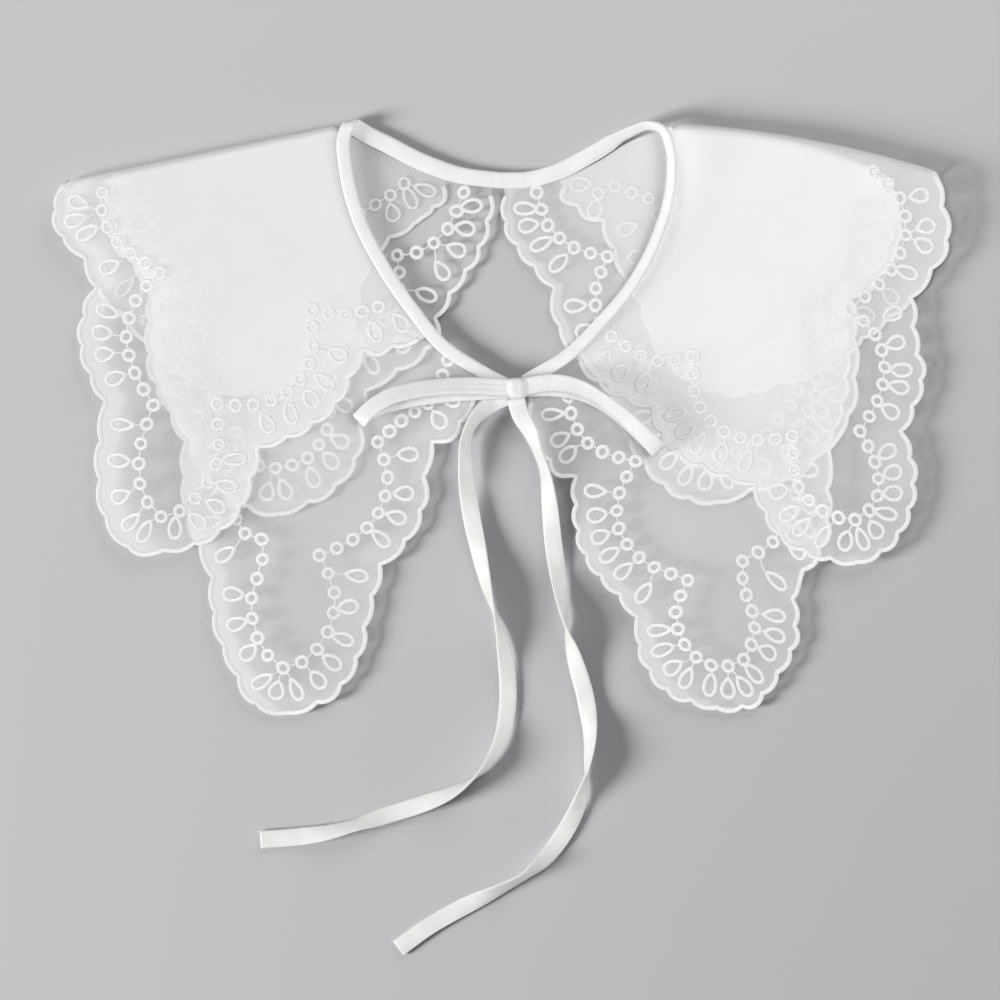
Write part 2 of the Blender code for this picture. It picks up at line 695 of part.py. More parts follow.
def principled(name, colour, roughness):
    material = bpy.data.materials.new(name)
    material.use_nodes = True
    shader = material.node_tree.nodes["Principled BSDF"]
    shader.inputs["Base Color"].default_value = (*colour, 1.0)
    shader.inputs["Roughness"].default_value = roughness
    return material


def main():
    for item in list(bpy.data.objects):
        bpy.data.objects.remove(item, do_unlink=True)
    organza = principled("organza", (0.86, 0.87, 0.88), 0.55)
    binding = principled("satin_binding", (0.89, 0.885, 0.875), 0.38)
    satin = principled("satin_tape", (0.88, 0.875, 0.86), 0.38)
    tier_half("upper_tier_left", "left", "upper", FRONT_UPPER_LEFT, BACK_UPPER_LEFT,
              NECK_FRONT_LEFT, NECK_BACK_LEFT, (66, 182), lambda u: 0.0, organza)
    tier_half("lower_tier_left", "left", "lower", FRONT_LOWER_LEFT, BACK_LOWER_LEFT,
              NECK_FRONT_LEFT, NECK_BACK_LEFT, (105, 178), lambda u: PITCH + 0.4 * u, organza)
    tier_half("upper_tier_right", "right", "upper", FRONT_UPPER_RIGHT, BACK_UPPER_RIGHT,
              NECK_FRONT_RIGHT, NECK_BACK_RIGHT, (935, 173), lambda u: 0.0, organza)
    tier_half("lower_tier_right", "right", "lower", FRONT_LOWER_RIGHT, BACK_LOWER_RIGHT,
              NECK_FRONT_RIGHT, NECK_BACK_RIGHT, (890, 183),
              lambda u: PITCH + 24.0 * max(u - 0.3, 0.0) ** 2, organza)
    neck_strip(binding)
    knot(satin)
    tape("bow_loop_left", LOOP_LEFT, TAPE_WIDTH, TAPE_THICK, satin, 4.0)
    tape("bow_loop_right", LOOP_RIGHT, TAPE_WIDTH, TAPE_THICK, satin, 4.0)
    tape("tail_left", TAIL_LEFT, TAPE_WIDTH, TAPE_THICK, satin)
    tape("tail_right", TAIL_RIGHT, TAPE_WIDTH, TAPE_THICK, satin)


main()
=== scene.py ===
"""White two-tier organza collar with satin-stitched scallops, a bound neck and a bow, laid out flat.

Tables are read on the same flat sheet as the part's: steps of 0.45 mm, x to the right and y down.
Every tier half is one cloth that is cut flat and folded over its shoulder, and its embroidery is
laid out on the cut and folded with it.
"""
import math
import random
from collections import namedtuple

import bpy
import numpy as np
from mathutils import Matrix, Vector
from mathutils.geometry import delaunay_2d_cdt


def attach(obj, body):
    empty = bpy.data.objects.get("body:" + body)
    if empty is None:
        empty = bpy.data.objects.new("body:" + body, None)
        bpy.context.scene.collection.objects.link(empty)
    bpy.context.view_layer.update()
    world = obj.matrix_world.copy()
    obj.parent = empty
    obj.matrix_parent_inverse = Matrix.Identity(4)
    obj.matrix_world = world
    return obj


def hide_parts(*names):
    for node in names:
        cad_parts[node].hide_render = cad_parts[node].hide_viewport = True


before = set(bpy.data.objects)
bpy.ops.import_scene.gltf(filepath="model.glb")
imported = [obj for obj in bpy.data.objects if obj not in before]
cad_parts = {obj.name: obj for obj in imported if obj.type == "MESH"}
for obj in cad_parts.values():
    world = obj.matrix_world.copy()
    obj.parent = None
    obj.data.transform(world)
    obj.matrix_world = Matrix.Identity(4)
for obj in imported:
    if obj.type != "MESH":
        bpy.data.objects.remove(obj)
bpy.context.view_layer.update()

# Sizes in millimetres
STEP = 0.45
CENTRE_X = 501.5
CENTRE_Y = 417.0
PITCH = 1.35
BACK_UPPER_Z = 0.5
BACK_LOWER_Z = BACK_UPPER_Z + PITCH
FRONT_LOWER_Z = BACK_LOWER_Z + PITCH
FRONT_UPPER_Z = FRONT_LOWER_Z + PITCH
CLOTH_GRID = 3.4
SCALLOP_RISE = 1.9
SCALLOP_BASE = 0.5
SCALLOP_CUTS = 10
NECK_TUCK = 1.6
EDGING_WIDTH = 2.15
STITCH_THICK = 0.3
WRONG_SIDE = 0.72
# Painted shade: stitches darken by this share under each organza layer above them
HIDDEN_PAINTED_SHADE = 0.86
RING_RADIUS = 2.3
RING_THREAD = 1.85
RING_CLEAR = 7.0
DROP_LENGTH = 8.4
DROP_WIDTH = 6.4
DROP_THREAD = 1.7
DROP_INSET = 10.2
DROP_SPACING = 9.6
LINK_THREAD = 0.75
ORGANZA_COVER = 0.35
# More cover along the front border: denser cloth there, plus more on the left as painted light from the left
BORDER_COVER_AND_PAINTED_LIGHT = {"left": 0.18, "right": 0.1}
# Painted shade and light inside the neck: the back panels get less cover on the left, where shade falls, and more on
# the right
BACK_PAINTED_SHADING = {"left": -0.14, "right": 0.08}
BORDER_REACH = 13.0
STEEPEST = 0.8
BINDING_BACK = 7.7
BINDING_FRONT = 5.9
BINDING_THICK = 2.0
STANDING = 1.3
NARROW_Y = 96.0
WIDE_Y = 112.0
WIDE_Z = 3.4
TAPE_WIDTH = 8.0
TAPE_THICK = 1.2

Lobe = namedtuple("Lobe", "notch near low far scallops")
Row = namedtuple("Row", "steps guide")
Wing = namedtuple("Wing", "side neck_end outer_end bow roll_neck roll_outer reach")
Rise = namedtuple("Rise", "x y across along height")
Station = namedtuple("Station", "x y z tilt")
Bend = namedtuple("Bend", "x y z heading tilt")
Panel = namedtuple("Panel", "lobes rows neck")

# Shoulder folds: a straight crease on the left, a slightly bowed rounder roll on the right
WINGS = {
    "left": Wing("left", (343, 124), (75, 179), 0.0, 1.4, 3.2, 26.0),
    "right": Wing("right", (668, 123), (937, 171), -3.8, 6.4, 4.0, 34.0),
}

# Soft rises of the two front layers, in sheet steps, height in mm
RISES = {
    "left": (
        Rise(215, 250, 95, 105, 5.0),
        Rise(297, 615, 46, 95, 3.4),
        Rise(150, 480, 42, 70, 2.4),
        Rise(293, 712, 40, 34, -2.0),
    ),
    "right": (
        Rise(765, 270, 105, 110, 4.5),
        Rise(715, 615, 52, 90, 3.0),
        Rise(855, 480, 44, 75, 2.6),
        Rise(720, 712, 44, 34, -2.0),
    ),
}

# A row per lobe of the edge: where it starts, three points along it, scallops in it.
# Under it a row per run of rings: how many steps from ring to ring, and the line they follow.
FRONT_UPPER_LEFT = Panel(
    (
        Lobe((421, 341), (408, 344), (390, 350), (377, 354), 2),
        Lobe((365, 352), (352, 377), (334, 408), (303, 432), 5),
        Lobe((260, 449), (252, 482), (238, 514), (203, 543), 5),
        Lobe((165, 553), (133, 552), (107, 524), (97, 470), 5),
        Lobe((103, 402), (88, 372), (80, 343), (84, 310), 4),
        Lobe((94, 288), (83, 260), (60, 235), (54, 212), 4),
    ),
    (
        Row(6, ((104, 193), (103, 211), (118, 242), (145, 262), (161, 273))),
        Row(8, ((161, 273), (138, 298), (127, 334), (135, 372), (154, 405))),
        Row(13, ((154, 405), (141, 448), (144, 494), (163, 517), (191, 503), (216, 467), (218, 404))),
        Row(9, ((218, 404), (253, 405), (287, 393), (310, 363), (313, 310))),
        Row(4, ((313, 310), (346, 315), (379, 307))),
    ),
    ((335.5, 128), (337.5, 165), (351, 220), (376, 269.5), (406.5, 315), (439.5, 354), (478, 380)),
)
FRONT_LOWER_LEFT = Panel(
    (
        Lobe((478, 391), (471, 407), (463, 424), (452, 438), 2),
        Lobe((435, 444), (428, 468), (425, 505), (405, 545), 4),
        Lobe((383, 566), (371, 610), (358, 661), (334, 696), 6),
        Lobe((288, 716), (254, 705), (233, 671), (214, 622), 5),
        Lobe((210, 578), (202, 555), (190, 528), (183, 490), 4),
        Lobe((183, 442), (166, 407), (150, 375), (147, 330), 5),
        Lobe((149, 290), (135, 268), (113, 243), (102, 212), 4),
    ),
    (
        Row(6, ((144, 193), (147, 215), (167, 248), (207, 290))),
        Row(8, ((207, 290), (193, 325), (193, 355), (205, 386), (236, 432))),
        Row(7, ((236, 432), (228, 460), (230, 495), (245, 533), (262, 539))),
        Row(14, ((262, 539), (263, 558), (252, 598), (258, 638), (285, 668), (316, 651), (335, 592), (320, 555))),
        Row(8, ((320, 555), (351, 541), (378, 514), (388, 476), (378, 442))),
        Row(7, ((378, 442), (405, 418), (430, 401), (448, 360))),
    ),
    ((335.5, 128), (337.5, 165), (351, 220), (376, 269.5), (406.5, 315), (439.5, 354), (478, 380)),
)
FRONT_UPPER_RIGHT = Panel(
    (
        Lobe((578, 361), (590, 377), (608, 391), (630, 401), 3),
        Lobe((650, 408), (659, 432), (680, 457), (707, 471), 5),
        Lobe((753, 486), (762, 508), (780, 537), (815, 557), 5),
        Lobe((858, 565), (888, 549), (911, 510), (915, 470), 6),
        Lobe((904, 432), (917, 402), (924, 378), (917, 340), 5),
        Lobe((914, 299), (930, 276), (948, 244), (944, 205), 4),
    ),
    (
        Row(9, ((873, 172), (899, 198), (906, 233), (891, 270), (851, 309))),
        Row(8, ((851, 309), (875, 334), (885, 367), (877, 402), (860, 431))),
        Row(13, ((860, 431), (875, 462), (877, 497), (858, 519), (827, 513), (801, 491), (793, 436))),
        Row(9, ((793, 436), (759, 440), (724, 431), (699, 405), (693, 356))),
        Row(5, ((693, 356), (659, 361), (626, 346), (612, 336))),
    ),
    ((676, 131), (679.5, 160), (677, 196), (665, 237), (640.5, 286), (604, 331), (569, 366), (528, 388)),
)
FRONT_LOWER_RIGHT = Panel(
    (
        Lobe((528, 402), (533, 430), (544, 457), (556, 473), 3),
        Lobe((573, 478), (574, 511), (580, 545), (595, 572), 5),
        Lobe((618, 596), (635, 620), (639, 650), (664, 690), 6),
        Lobe((717, 711), (752, 707), (779, 676), (797, 640), 6),
        Lobe((796, 600), (800, 580), (815, 562), (828, 530), 4),
        Lobe((830, 490), (832, 450), (852, 412), (857, 360), 5),
        Lobe((853, 300), (874, 284), (893, 258), (899, 217), 4),
    ),
    (
        Row(6, ((569, 396), (571, 413), (588, 443), (618, 457), (636, 461))),
        Row(9, ((636, 461), (620, 492), (619, 528), (640, 558), (688, 580))),
        Row(14, ((688, 580), (676, 611), (684, 643), (711, 665), (741, 662), (755, 630), (743, 579), (743, 561))),
        Row(8, ((743, 561), (773, 542), (792, 510), (795, 475), (790, 440))),
        Row(8, ((790, 440), (805, 418), (818, 385), (810, 350), (804, 312))),
        Row(7, ((804, 312), (828, 294), (851, 263), (858, 205))),
    ),
    ((676, 131), (679.5, 160), (677, 196), (665, 237), (640.5, 286), (604, 331), (569, 366), (528, 388)),
)
BACK_LOWER_LEFT = Panel(
    (
        Lobe((493, 194), (490, 222), (478, 256), (456, 289), 5),
        Lobe((438, 318), (438, 335), (420, 358), (395, 374), 3),
        Lobe((368, 392), (363, 418), (360, 452), (337, 487), 5),
        Lobe((277, 517), (245, 508), (216, 490), (196, 466), 4),
        Lobe((189, 440), (173, 415), (157, 375), (153, 330), 5),
        Lobe((155, 292), (141, 272), (119, 248), (108, 216), 4),
    ),
    (
        Row(5, ((464, 192), (446, 231), (417, 252), (397, 255))),
        Row(7, ((397, 255), (399, 285), (388, 315), (366, 335), (340, 345))),
        Row(9, ((340, 345), (331, 375), (325, 434), (303, 461), (275, 468))),
        Row(4, ((275, 468), (252, 463), (232, 425))),
        Row(8, ((232, 425), (214, 395), (200, 360), (197, 325), (203, 290))),
        Row(6, ((203, 290), (180, 264), (155, 240), (149, 200))),
    ),
    ((341, 136), (355, 139.5), (381.5, 153.5), (417, 170.5), (456.5, 184.5), (493, 190.5)),
)
BACK_LOWER_RIGHT = Panel(
    (
        Lobe((504, 194), (504, 222), (520, 252), (538, 273), 4),
        Lobe((552, 288), (555, 318), (566, 342), (587, 364), 3),
        Lobe((608, 385), (622, 425), (645, 467), (680, 497), 6),
        Lobe((717, 505), (750, 493), (790, 480), (820, 456), 4),
        Lobe((836, 430), (845, 400), (848, 350), (845, 310), 5),
        Lobe((848, 296), (868, 280), (887, 254), (894, 216), 4),
    ),
    (
        Row(6, ((537, 192), (549, 226), (576, 248), (608, 256))),
        Row(7, ((608, 256), (596, 289), (599, 318), (615, 340), (640, 350))),
        Row(8, ((640, 350), (650, 380), (675, 435), (700, 452), (717, 455))),
        Row(5, ((717, 455), (745, 450), (790, 405))),
        Row(7, ((790, 405), (803, 380), (806, 350), (797, 290))),
        Row(6, ((797, 290), (823, 276), (845, 250), (853, 208))),
    ),
    ((669, 131), (656, 134), (634, 141), (594, 165), (555, 184), (504, 191)),
)
BACK_UPPER_LEFT = Panel(
    (
        Lobe((446, 185), (443, 200), (432, 211), (421, 217), 2),
        Lobe((415, 226), (400, 233), (385, 244), (372, 262), 3),
        Lobe((360, 285), (350, 335), (325, 380), (290, 400), 6),
        Lobe((250, 395), (210, 390), (168, 366), (126, 322), 5),
        Lobe((94, 288), (83, 260), (60, 235), (54, 212), 4),
    ),
    (
        Row(6, ((404, 183), (387, 197), (370, 207), (345, 222), (318, 248))),
        Row(8, ((318, 248), (310, 280), (305, 315), (285, 345), (250, 348))),
        Row(7, ((250, 348), (225, 347), (195, 332), (161, 273))),
        Row(6, ((161, 273), (145, 262), (118, 242), (103, 211), (104, 193))),
    ),
    ((341, 136), (355, 139.5), (381.5, 153.5), (417, 170.5), (456.5, 184.5), (493, 190.5)),
)
BACK_UPPER_RIGHT = Panel(
    (
        Lobe((562, 185), (562, 197), (574, 206), (585, 216), 2),
        Lobe((601, 222), (608, 240), (617, 262), (627, 284), 3),
        Lobe((640, 305), (657, 350), (692, 383), (735, 395), 6),
        Lobe((780, 385), (818, 372), (852, 350), (884, 324), 5),
        Lobe((914, 299), (930, 276), (948, 244), (944, 205), 4),
    ),
    (
        Row(7, ((598, 193), (614, 186), (630, 192), (646, 196), (668, 240), (683, 262))),
        Row(8, ((683, 262), (690, 295), (705, 325), (730, 343), (775, 338))),
        Row(5, ((775, 338), (803, 331), (832, 321), (851, 309))),
        Row(9, ((851, 309), (891, 270), (906, 233), (899, 198), (873, 172))),
    ),
    ((669, 131), (656, 134), (634, 141), (594, 165), (555, 184), (504, 191)),
)


def plan(point):
    """Sheet steps to millimetres, x right and y up, about the collar's middle."""
    return np.array(((point[0] - CENTRE_X) * STEP, (CENTRE_Y - point[1]) * STEP))


def smooth_curve(points, cuts):
    """A curve through every point, with tangents set by the distances between them."""
    points = [np.asarray(p, dtype=float) for p in points]
    chords = [max(np.linalg.norm(b - a), 1e-6) for a, b in zip(points, points[1:])]
    slopes = []
    for i in range(len(points)):
        if i == 0:
            slopes.append((points[1] - points[0]) / chords[0])
        elif i == len(points) - 1:
            slopes.append((points[-1] - points[-2]) / chords[-1])
        else:
            before = (points[i] - points[i - 1]) / chords[i - 1]
            after = (points[i + 1] - points[i]) / chords[i]
            share = chords[i - 1] / (chords[i - 1] + chords[i])
            slopes.append(before * (1 - share) + after * share)
    out = [points[0]]
    for i, chord in enumerate(chords):
        for step in range(1, cuts + 1):
            u = step / cuts
            h1 = 2 * u ** 3 - 3 * u ** 2 + 1
            h2 = u ** 3 - 2 * u ** 2 + u
            h3 = -2 * u ** 3 + 3 * u ** 2
            h4 = u ** 3 - u ** 2
            out.append(h1 * points[i] + h2 * chord * slopes[i] + h3 * points[i + 1] + h4 * chord * slopes[i + 1])
    return np.array(out)


def resample(curve, count):
    """Count + 1 points at even distances along a curve."""
    steps = np.linalg.norm(np.diff(curve, axis=0), axis=1)
    along = np.concatenate(([0.0], np.cumsum(steps)))
    marks = np.linspace(0.0, along[-1], count + 1)
    return np.stack([np.interp(marks, along, curve[:, k]) for k in range(curve.shape[1])], axis=1)


def unit(vectors):
    return vectors / np.maximum(np.linalg.norm(vectors, axis=-1, keepdims=True), 1e-9)


class Fold:
    """The shoulder of one side: turns cut-plane points into places in the folded collar."""

    def __init__(self, wing, inset, back_z, front_z):
        self.wing = wing
        self.origin = plan(wing.neck_end)
        outer = plan(wing.outer_end)
        self.length = float(np.linalg.norm(outer - self.origin))
        self.along = (outer - self.origin) / self.length
        self.inward = np.array((self.along[1], -self.along[0]))
        if self.inward[1] > 0:
            self.inward = -self.inward
        self.inset = inset
        self.back_z = back_z
        self.front_z = front_z
        self.over = {True: (), False: ()}
        self.outer = 1.0 if wing.side == "left" else -1.0

    def crease(self, s):
        """Distance of the fold's own edge from the straight line between its ends."""
        u = np.clip(s / self.length, 0.0, 1.0)
        return self.wing.bow * 4 * u * (1 - u) + self.inset(u)

    def lift_at_crease(self, s):
        u = np.clip(s / self.length, 0.0, 1.0)
        return self.wing.roll_neck + (self.wing.roll_outer - self.wing.roll_neck) * u

    def radius(self, s):
        return (self.front_z - self.back_z + self.lift_at_crease(s)) / 2

    def flat(self, points, front=True):
        """Places on the laid-out collar to places in the cut plane."""
        offset = np.asarray(points, dtype=float) - self.origin
        s = offset @ self.along
        depth = offset @ self.inward - self.crease(s)
        return np.stack((s, depth if front else -depth), axis=-1)

    def lift(self, places, s):
        depth = (places - self.origin) @ self.inward - self.crease(s) + self.inset(s / self.length)
        total = self.lift_at_crease(s) * np.exp(-(np.maximum(depth, 0.0) / self.wing.reach) ** 2)
        for rise in RISES[self.wing.side]:
            dx, dy = ((places - plan((rise.x, rise.y))) / (np.array((rise.across, rise.along)) * STEP)).T
            total = total + rise.height * np.exp(-(dx * dx + dy * dy) * 1.2)
        return total

    def middle(self, flat):
        """Cut-plane points to the middle of the folded cloth."""
        s, t = flat[:, 0], flat[:, 1]
        radius = self.radius(s)
        angle = np.clip(t / radius, -1.0, 1.0) * math.pi / 2
        depth = np.where(np.abs(t) < radius, radius * (1 - np.cos(angle)), np.abs(t))
        start = self.origin + self.along * s[:, None]
        places = start + self.inward * (self.crease(s) + depth)[:, None]
        beyond = start + self.inward * (self.crease(s) + np.maximum(np.abs(t), radius))[:, None]
        top = self.front_z + self.lift(beyond, s)
        share = (1 + np.sin(angle)) / 2
        return np.column_stack((places, self.back_z + (top - self.back_z) * share))

    def normal(self, flat):
        """The way out of the cloth's outer face at cut-plane points."""
        step = 0.25
        run = self.middle(flat + (step, 0.0)) - self.middle(flat - (step, 0.0))
        rise = self.middle(flat + (0.0, step)) - self.middle(flat - (0.0, step))
        return unit(np.cross(run, rise)) * self.outer

    def tone(self, flat):
        """Painted shade for stitches at cut-plane points: darker for each of the layers in over that covers them."""
        places = self.middle(flat)[:, :2]
        count = np.zeros(len(flat))
        for front in (True, False):
            for outline in self.over[front]:
                count += ((flat[:, 1] > 0) == front) & inside(places, outline)
        return HIDDEN_PAINTED_SHADE ** count

    def place(self, flat, above=0.0):
        """Cut-plane points, lifted off the cloth's outer face by a distance."""
        return self.middle(flat) + self.normal(flat) * np.reshape(above, (-1, 1))


def lobe_lines(panel, last, outward):
    """For each lobe its line before scalloping, and the way out of the cloth along it."""
    lines = []
    for i, lobe in enumerate(panel.lobes):
        following = panel.lobes[i + 1].notch if i + 1 < len(panel.lobes) else last
        points = [plan(p) for p in (lobe.notch, lobe.near, lobe.low, lobe.far, following)]
        curve = resample(smooth_curve(points, 16), lobe.scallops * SCALLOP_CUTS)
        tangent = unit(np.gradient(curve, axis=0))
        normal = np.stack((tangent[:, 1], -tangent[:, 0]), axis=1) * outward
        lines.append((curve, normal))
    return lines


def scalloped(lines):
    """The lobed edge with its scallops."""
    edge = []
    for i, (curve, normal) in enumerate(lines):
        for k in range(len(curve) - (1 if i + 1 < len(lines) else 0)):
            phase = (k % SCALLOP_CUTS) / SCALLOP_CUTS
            rise = SCALLOP_RISE * math.sin(math.pi * phase) ** 0.75 - SCALLOP_BASE
            edge.append(curve[k] + normal[k] * rise)
    return np.array(edge)


def inside(points, polygon):
    """Which points lie inside a closed polygon."""
    result = np.zeros(len(points), dtype=bool)
    for i in range(len(polygon)):
        ax, ay = polygon[i]
        bx, by = polygon[i - 1]
        cross = (ay > points[:, 1]) != (by > points[:, 1])
        with np.errstate(divide="ignore", invalid="ignore"):
            meet = (bx - ax) * (points[:, 1] - ay) / (by - ay) + ax
        result ^= cross & (points[:, 0] < meet)
    return result


def distance_to(points, line):
    """How far points lie from an open line."""
    nearest = np.full(len(points), 1e9)
    for a, b in zip(line, line[1:]):
        run = b - a
        share = np.clip(((points - a) @ run) / max(run @ run, 1e-9), 0, 1)
        nearest = np.minimum(nearest, np.linalg.norm(points - (a + share[:, None] * run), axis=1))
    return nearest


def build_object(name, vertices, faces, material, uv=None):
    """A smooth-shaded mesh from millimetres; uv is one pair in millimetres for each vertex."""
    mesh = bpy.data.meshes.new(name)
    mesh.from_pydata((np.asarray(vertices) * 0.001).tolist(), [], faces)
    mesh.update()
    if uv is not None:
        layer = mesh.uv_layers.new(name="Cut")
        index = np.empty(len(mesh.loops), dtype=np.int32)
        mesh.loops.foreach_get("vertex_index", index)
        layer.data.foreach_set("uv", np.asarray(uv, dtype=np.float32)[index].ravel())
    mesh.shade_smooth()
    mesh.materials.append(material)
    item = bpy.data.objects.new(name, mesh)
    bpy.context.collection.objects.link(item)
    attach(item, "root")
    return item


class Pile:
    """Collects the vertices, faces and thread coordinates of many stitches into one mesh."""

    def __init__(self):
        self.vertices = []
        self.lines = []
        self.uv = []
        self.faces = []
        self.count = 0

    def tube(self, sections, lengths, closed):
        """Sections is (stations, corners, 3); lengths is the run along the thread at each station."""
        stations, corners = sections.shape[:2]
        start = self.count
        self.vertices.append(sections.reshape(-1, 3))
        across = np.tile(np.arange(corners) / corners, stations)
        self.uv.append(np.column_stack((np.repeat(lengths, corners), across)))
        for i in range(stations if closed else stations - 1):
            a = start + i * corners
            b = start + ((i + 1) % stations) * corners
            for k in range(corners):
                n = (k + 1) % corners
                self.faces.append((a + k, a + n, b + n, b + k))
        if not closed:
            self.faces.append(tuple(start + k for k in reversed(range(corners))))
            self.faces.append(tuple(start + (stations - 1) * corners + k for k in range(corners)))
        self.count += stations * corners

    def build(self, name, material):
        return build_object(name, np.concatenate(self.vertices), self.faces, material, np.concatenate(self.uv))

    def shade(self, item, fold):
        """Writes the painted shade of the stitches, darker under covering layers, from the lines in the cut plane
        that they follow.
        """
        painted_shades = fold.tone(np.concatenate([line for line, corners in self.lines]))
        corners = np.concatenate([np.full(len(line), corners) for line, corners in self.lines])
        layer = item.data.attributes.new("PaintedShade", "FLOAT", "POINT")
        layer.data.foreach_set("value", np.repeat(painted_shades, corners).astype(np.float32))


def satin_cord(pile, fold, line, width, thick, closed, corners=8):
    """A padded line of satin stitch along a line in the cut plane, as wide and thick as given."""
    line = np.asarray(line)
    if closed:
        tangent = unit(np.roll(line, -1, axis=0) - np.roll(line, 1, axis=0))
        steps = np.linalg.norm(np.roll(line, -1, axis=0) - line, axis=1)
        lengths = np.concatenate(([0.0], np.cumsum(steps)))[:-1]
    else:
        tangent = unit(np.gradient(line, axis=0))
        lengths = np.concatenate(([0.0], np.cumsum(np.linalg.norm(np.diff(line, axis=0), axis=1))))
    side = np.stack((-tangent[:, 1], tangent[:, 0]), axis=1)
    sections = []
    for k in range(corners):
        angle = 2 * math.pi * k / corners
        a = math.copysign(abs(math.cos(angle)) ** 0.8, math.cos(angle)) * width / 2
        b = math.sin(angle) * thick / 2
        sections.append(fold.place(line + side * np.reshape(a, (-1, 1)), b))
    pile.tube(np.stack(sections, axis=1), lengths, closed)
    pile.lines.append((line, corners))


def ring_line(centre, radius, turn, oval):
    """A slightly oval ring."""
    angles = np.linspace(0, 2 * math.pi, 20, endpoint=False)
    x = np.cos(angles) * radius * oval
    y = np.sin(angles) * radius / oval
    return centre + np.stack((x * math.cos(turn) - y * math.sin(turn), x * math.sin(turn) + y * math.cos(turn)), 1)


def drop_line(centre, toward, length, width, point):
    """A teardrop whose tip points along toward; point is how sharply the tip narrows."""
    angles = np.linspace(0, 2 * math.pi, 30, endpoint=False)
    along = np.cos(angles) * length / 2
    across = np.sin(angles) * np.abs(np.sin(angles / 2)) ** point * width / 2 * (1 + 0.22 * point)
    side = np.array((-toward[1], toward[0]))
    return centre + along[:, None] * toward + across[:, None] * side


def spread(drops, rings):
    """Drops eased apart from each other and off the rings."""
    drops = drops.copy()
    for _ in range(24):
        for others, least in ((drops.copy(), DROP_SPACING * 0.8), (rings, RING_CLEAR)):
            gap = drops[:, None] - others[None]
            far = np.linalg.norm(gap, axis=2)
            push = np.where((far < least) & (far > 1e-6), least / np.maximum(far, 1e-6) - 1, 0.0)
            drops += 0.35 * np.sum(gap * push[..., None], axis=1)
    return drops


def link(pile, fold, start, finish, chance):
    """A thin stitch from one shape to the next."""
    run = finish - start
    bend = (start + finish) / 2 + np.array((-run[1], run[0])) * chance.uniform(-0.15, 0.15)
    satin_cord(pile, fold, smooth_curve((start, bend, finish), 3), LINK_THREAD, STITCH_THICK * 0.8, False, 5)


def embroider(pile, fold, panel, lines, front, chance, weight):
    """Rings along their rows, and a teardrop with its link stitch in every scallop; weight thins the thread."""
    rings = []
    for i, row in enumerate(panel.rows):
        curve = resample(smooth_curve([plan(p) for p in row.guide], 14), row.steps)
        rings += list(curve if i == 0 else curve[1:])
    rings = fold.flat(np.array(rings), front)
    for centre in rings:
        radius = RING_RADIUS * chance.uniform(0.94, 1.06)
        line = ring_line(centre, radius, chance.uniform(0, 3.1), chance.uniform(0.98, 1.08))
        satin_cord(pile, fold, line, RING_THREAD * weight, STITCH_THICK, True, 8)
    reach = RING_RADIUS + RING_THREAD * 0.4
    for a, b in zip(rings, rings[1:]):
        apart = np.linalg.norm(b - a)
        if apart > 2 * reach + 0.4:
            link(pile, fold, a + (b - a) * reach / apart, b - (b - a) * reach / apart, chance)
    drops = []
    inward = []
    for curve, normal in lines:
        for k in range(SCALLOP_CUTS // 2, len(curve), SCALLOP_CUTS):
            drops.append(fold.flat(curve[k] - normal[k] * DROP_INSET, front))
            inward.append(unit(fold.flat(curve[k] - normal[k] * (DROP_INSET + 2.0), front) - drops[-1]))
    for centre, heading in zip(spread(np.array(drops), rings), inward):
        away = np.linalg.norm(rings - centre, axis=1)
        ring = rings[int(np.argmin(away - 3.0 * ((rings - centre) @ heading) / away))]
        toward = unit(heading * 0.8 + unit(ring - centre))
        slim = chance.uniform(0.0, 1.0)
        length = DROP_LENGTH * (0.94 + 0.3 * slim)
        width = DROP_WIDTH * (1.02 - 0.24 * slim)
        line = drop_line(centre, toward, length, width, chance.uniform(0.3, 0.9))
        satin_cord(pile, fold, line, DROP_THREAD * weight, STITCH_THICK, True, 8)
        tip = centre + toward * (length / 2 + DROP_THREAD * 0.3)
        finish = ring - unit(ring - tip) * reach
        if np.linalg.norm(finish - tip) < 7.0:
            link(pile, fold, tip, finish, chance)


def tidy_loop(points, least):
    """Leaves out points that crowd the one before."""
    kept = []
    for point in points:
        if not kept or np.linalg.norm(point - kept[-1]) > least:
            kept.append(point)
    if np.linalg.norm(kept[0] - kept[-1]) < least:
        kept.pop()
    return np.array(kept)


def neck_line(fold, panel, front):
    """The raw neck edge of one panel, tucked a little under the binding, up to the panel's end."""
    curve = resample(smooth_curve([plan(p) for p in panel.neck], 12), 40)
    middle = plan((505, 285))
    curve = curve + unit(middle - curve) * (NECK_TUCK if front else -NECK_TUCK)
    end = int(np.argmin(np.linalg.norm(curve - plan(panel.lobes[0].notch), axis=1)))
    return fold.flat(curve[:end + 1], front)


def cover(flat, rim, fold):
    """How much of the view down the cloth fills: more along the stitched border, which is denser there and gets more
    on the left side as painted light, and more where it stands steep; inside the neck the back panels get painted
    shade on the left and painted light on the right.
    """
    near_rim = np.exp(-(distance_to(flat, rim) / BORDER_REACH) ** 2)
    # Inside the neck the back panels get painted shade on the left and painted light on the right
    inside_neck = np.clip((10 - flat[:, 0]) / 20, 0, 1)
    side = fold.wing.side
    more = np.where(flat[:, 1] > 0, BORDER_COVER_AND_PAINTED_LIGHT[side] * near_rim, BACK_PAINTED_SHADING[side] * inside_neck)
    level = np.maximum(np.abs(fold.normal(flat)[:, 2]), STEEPEST)
    return 1 - (1 - ORGANZA_COVER - more) ** (1 / level)


def outline(side, panel, corner):
    """A panel's closed outline on the laid-out collar."""
    edge = scalloped(lobe_lines(panel, corner, -1.0 if side == "left" else 1.0))
    return np.concatenate((edge, smooth_curve([plan(p) for p in panel.neck], 6)))


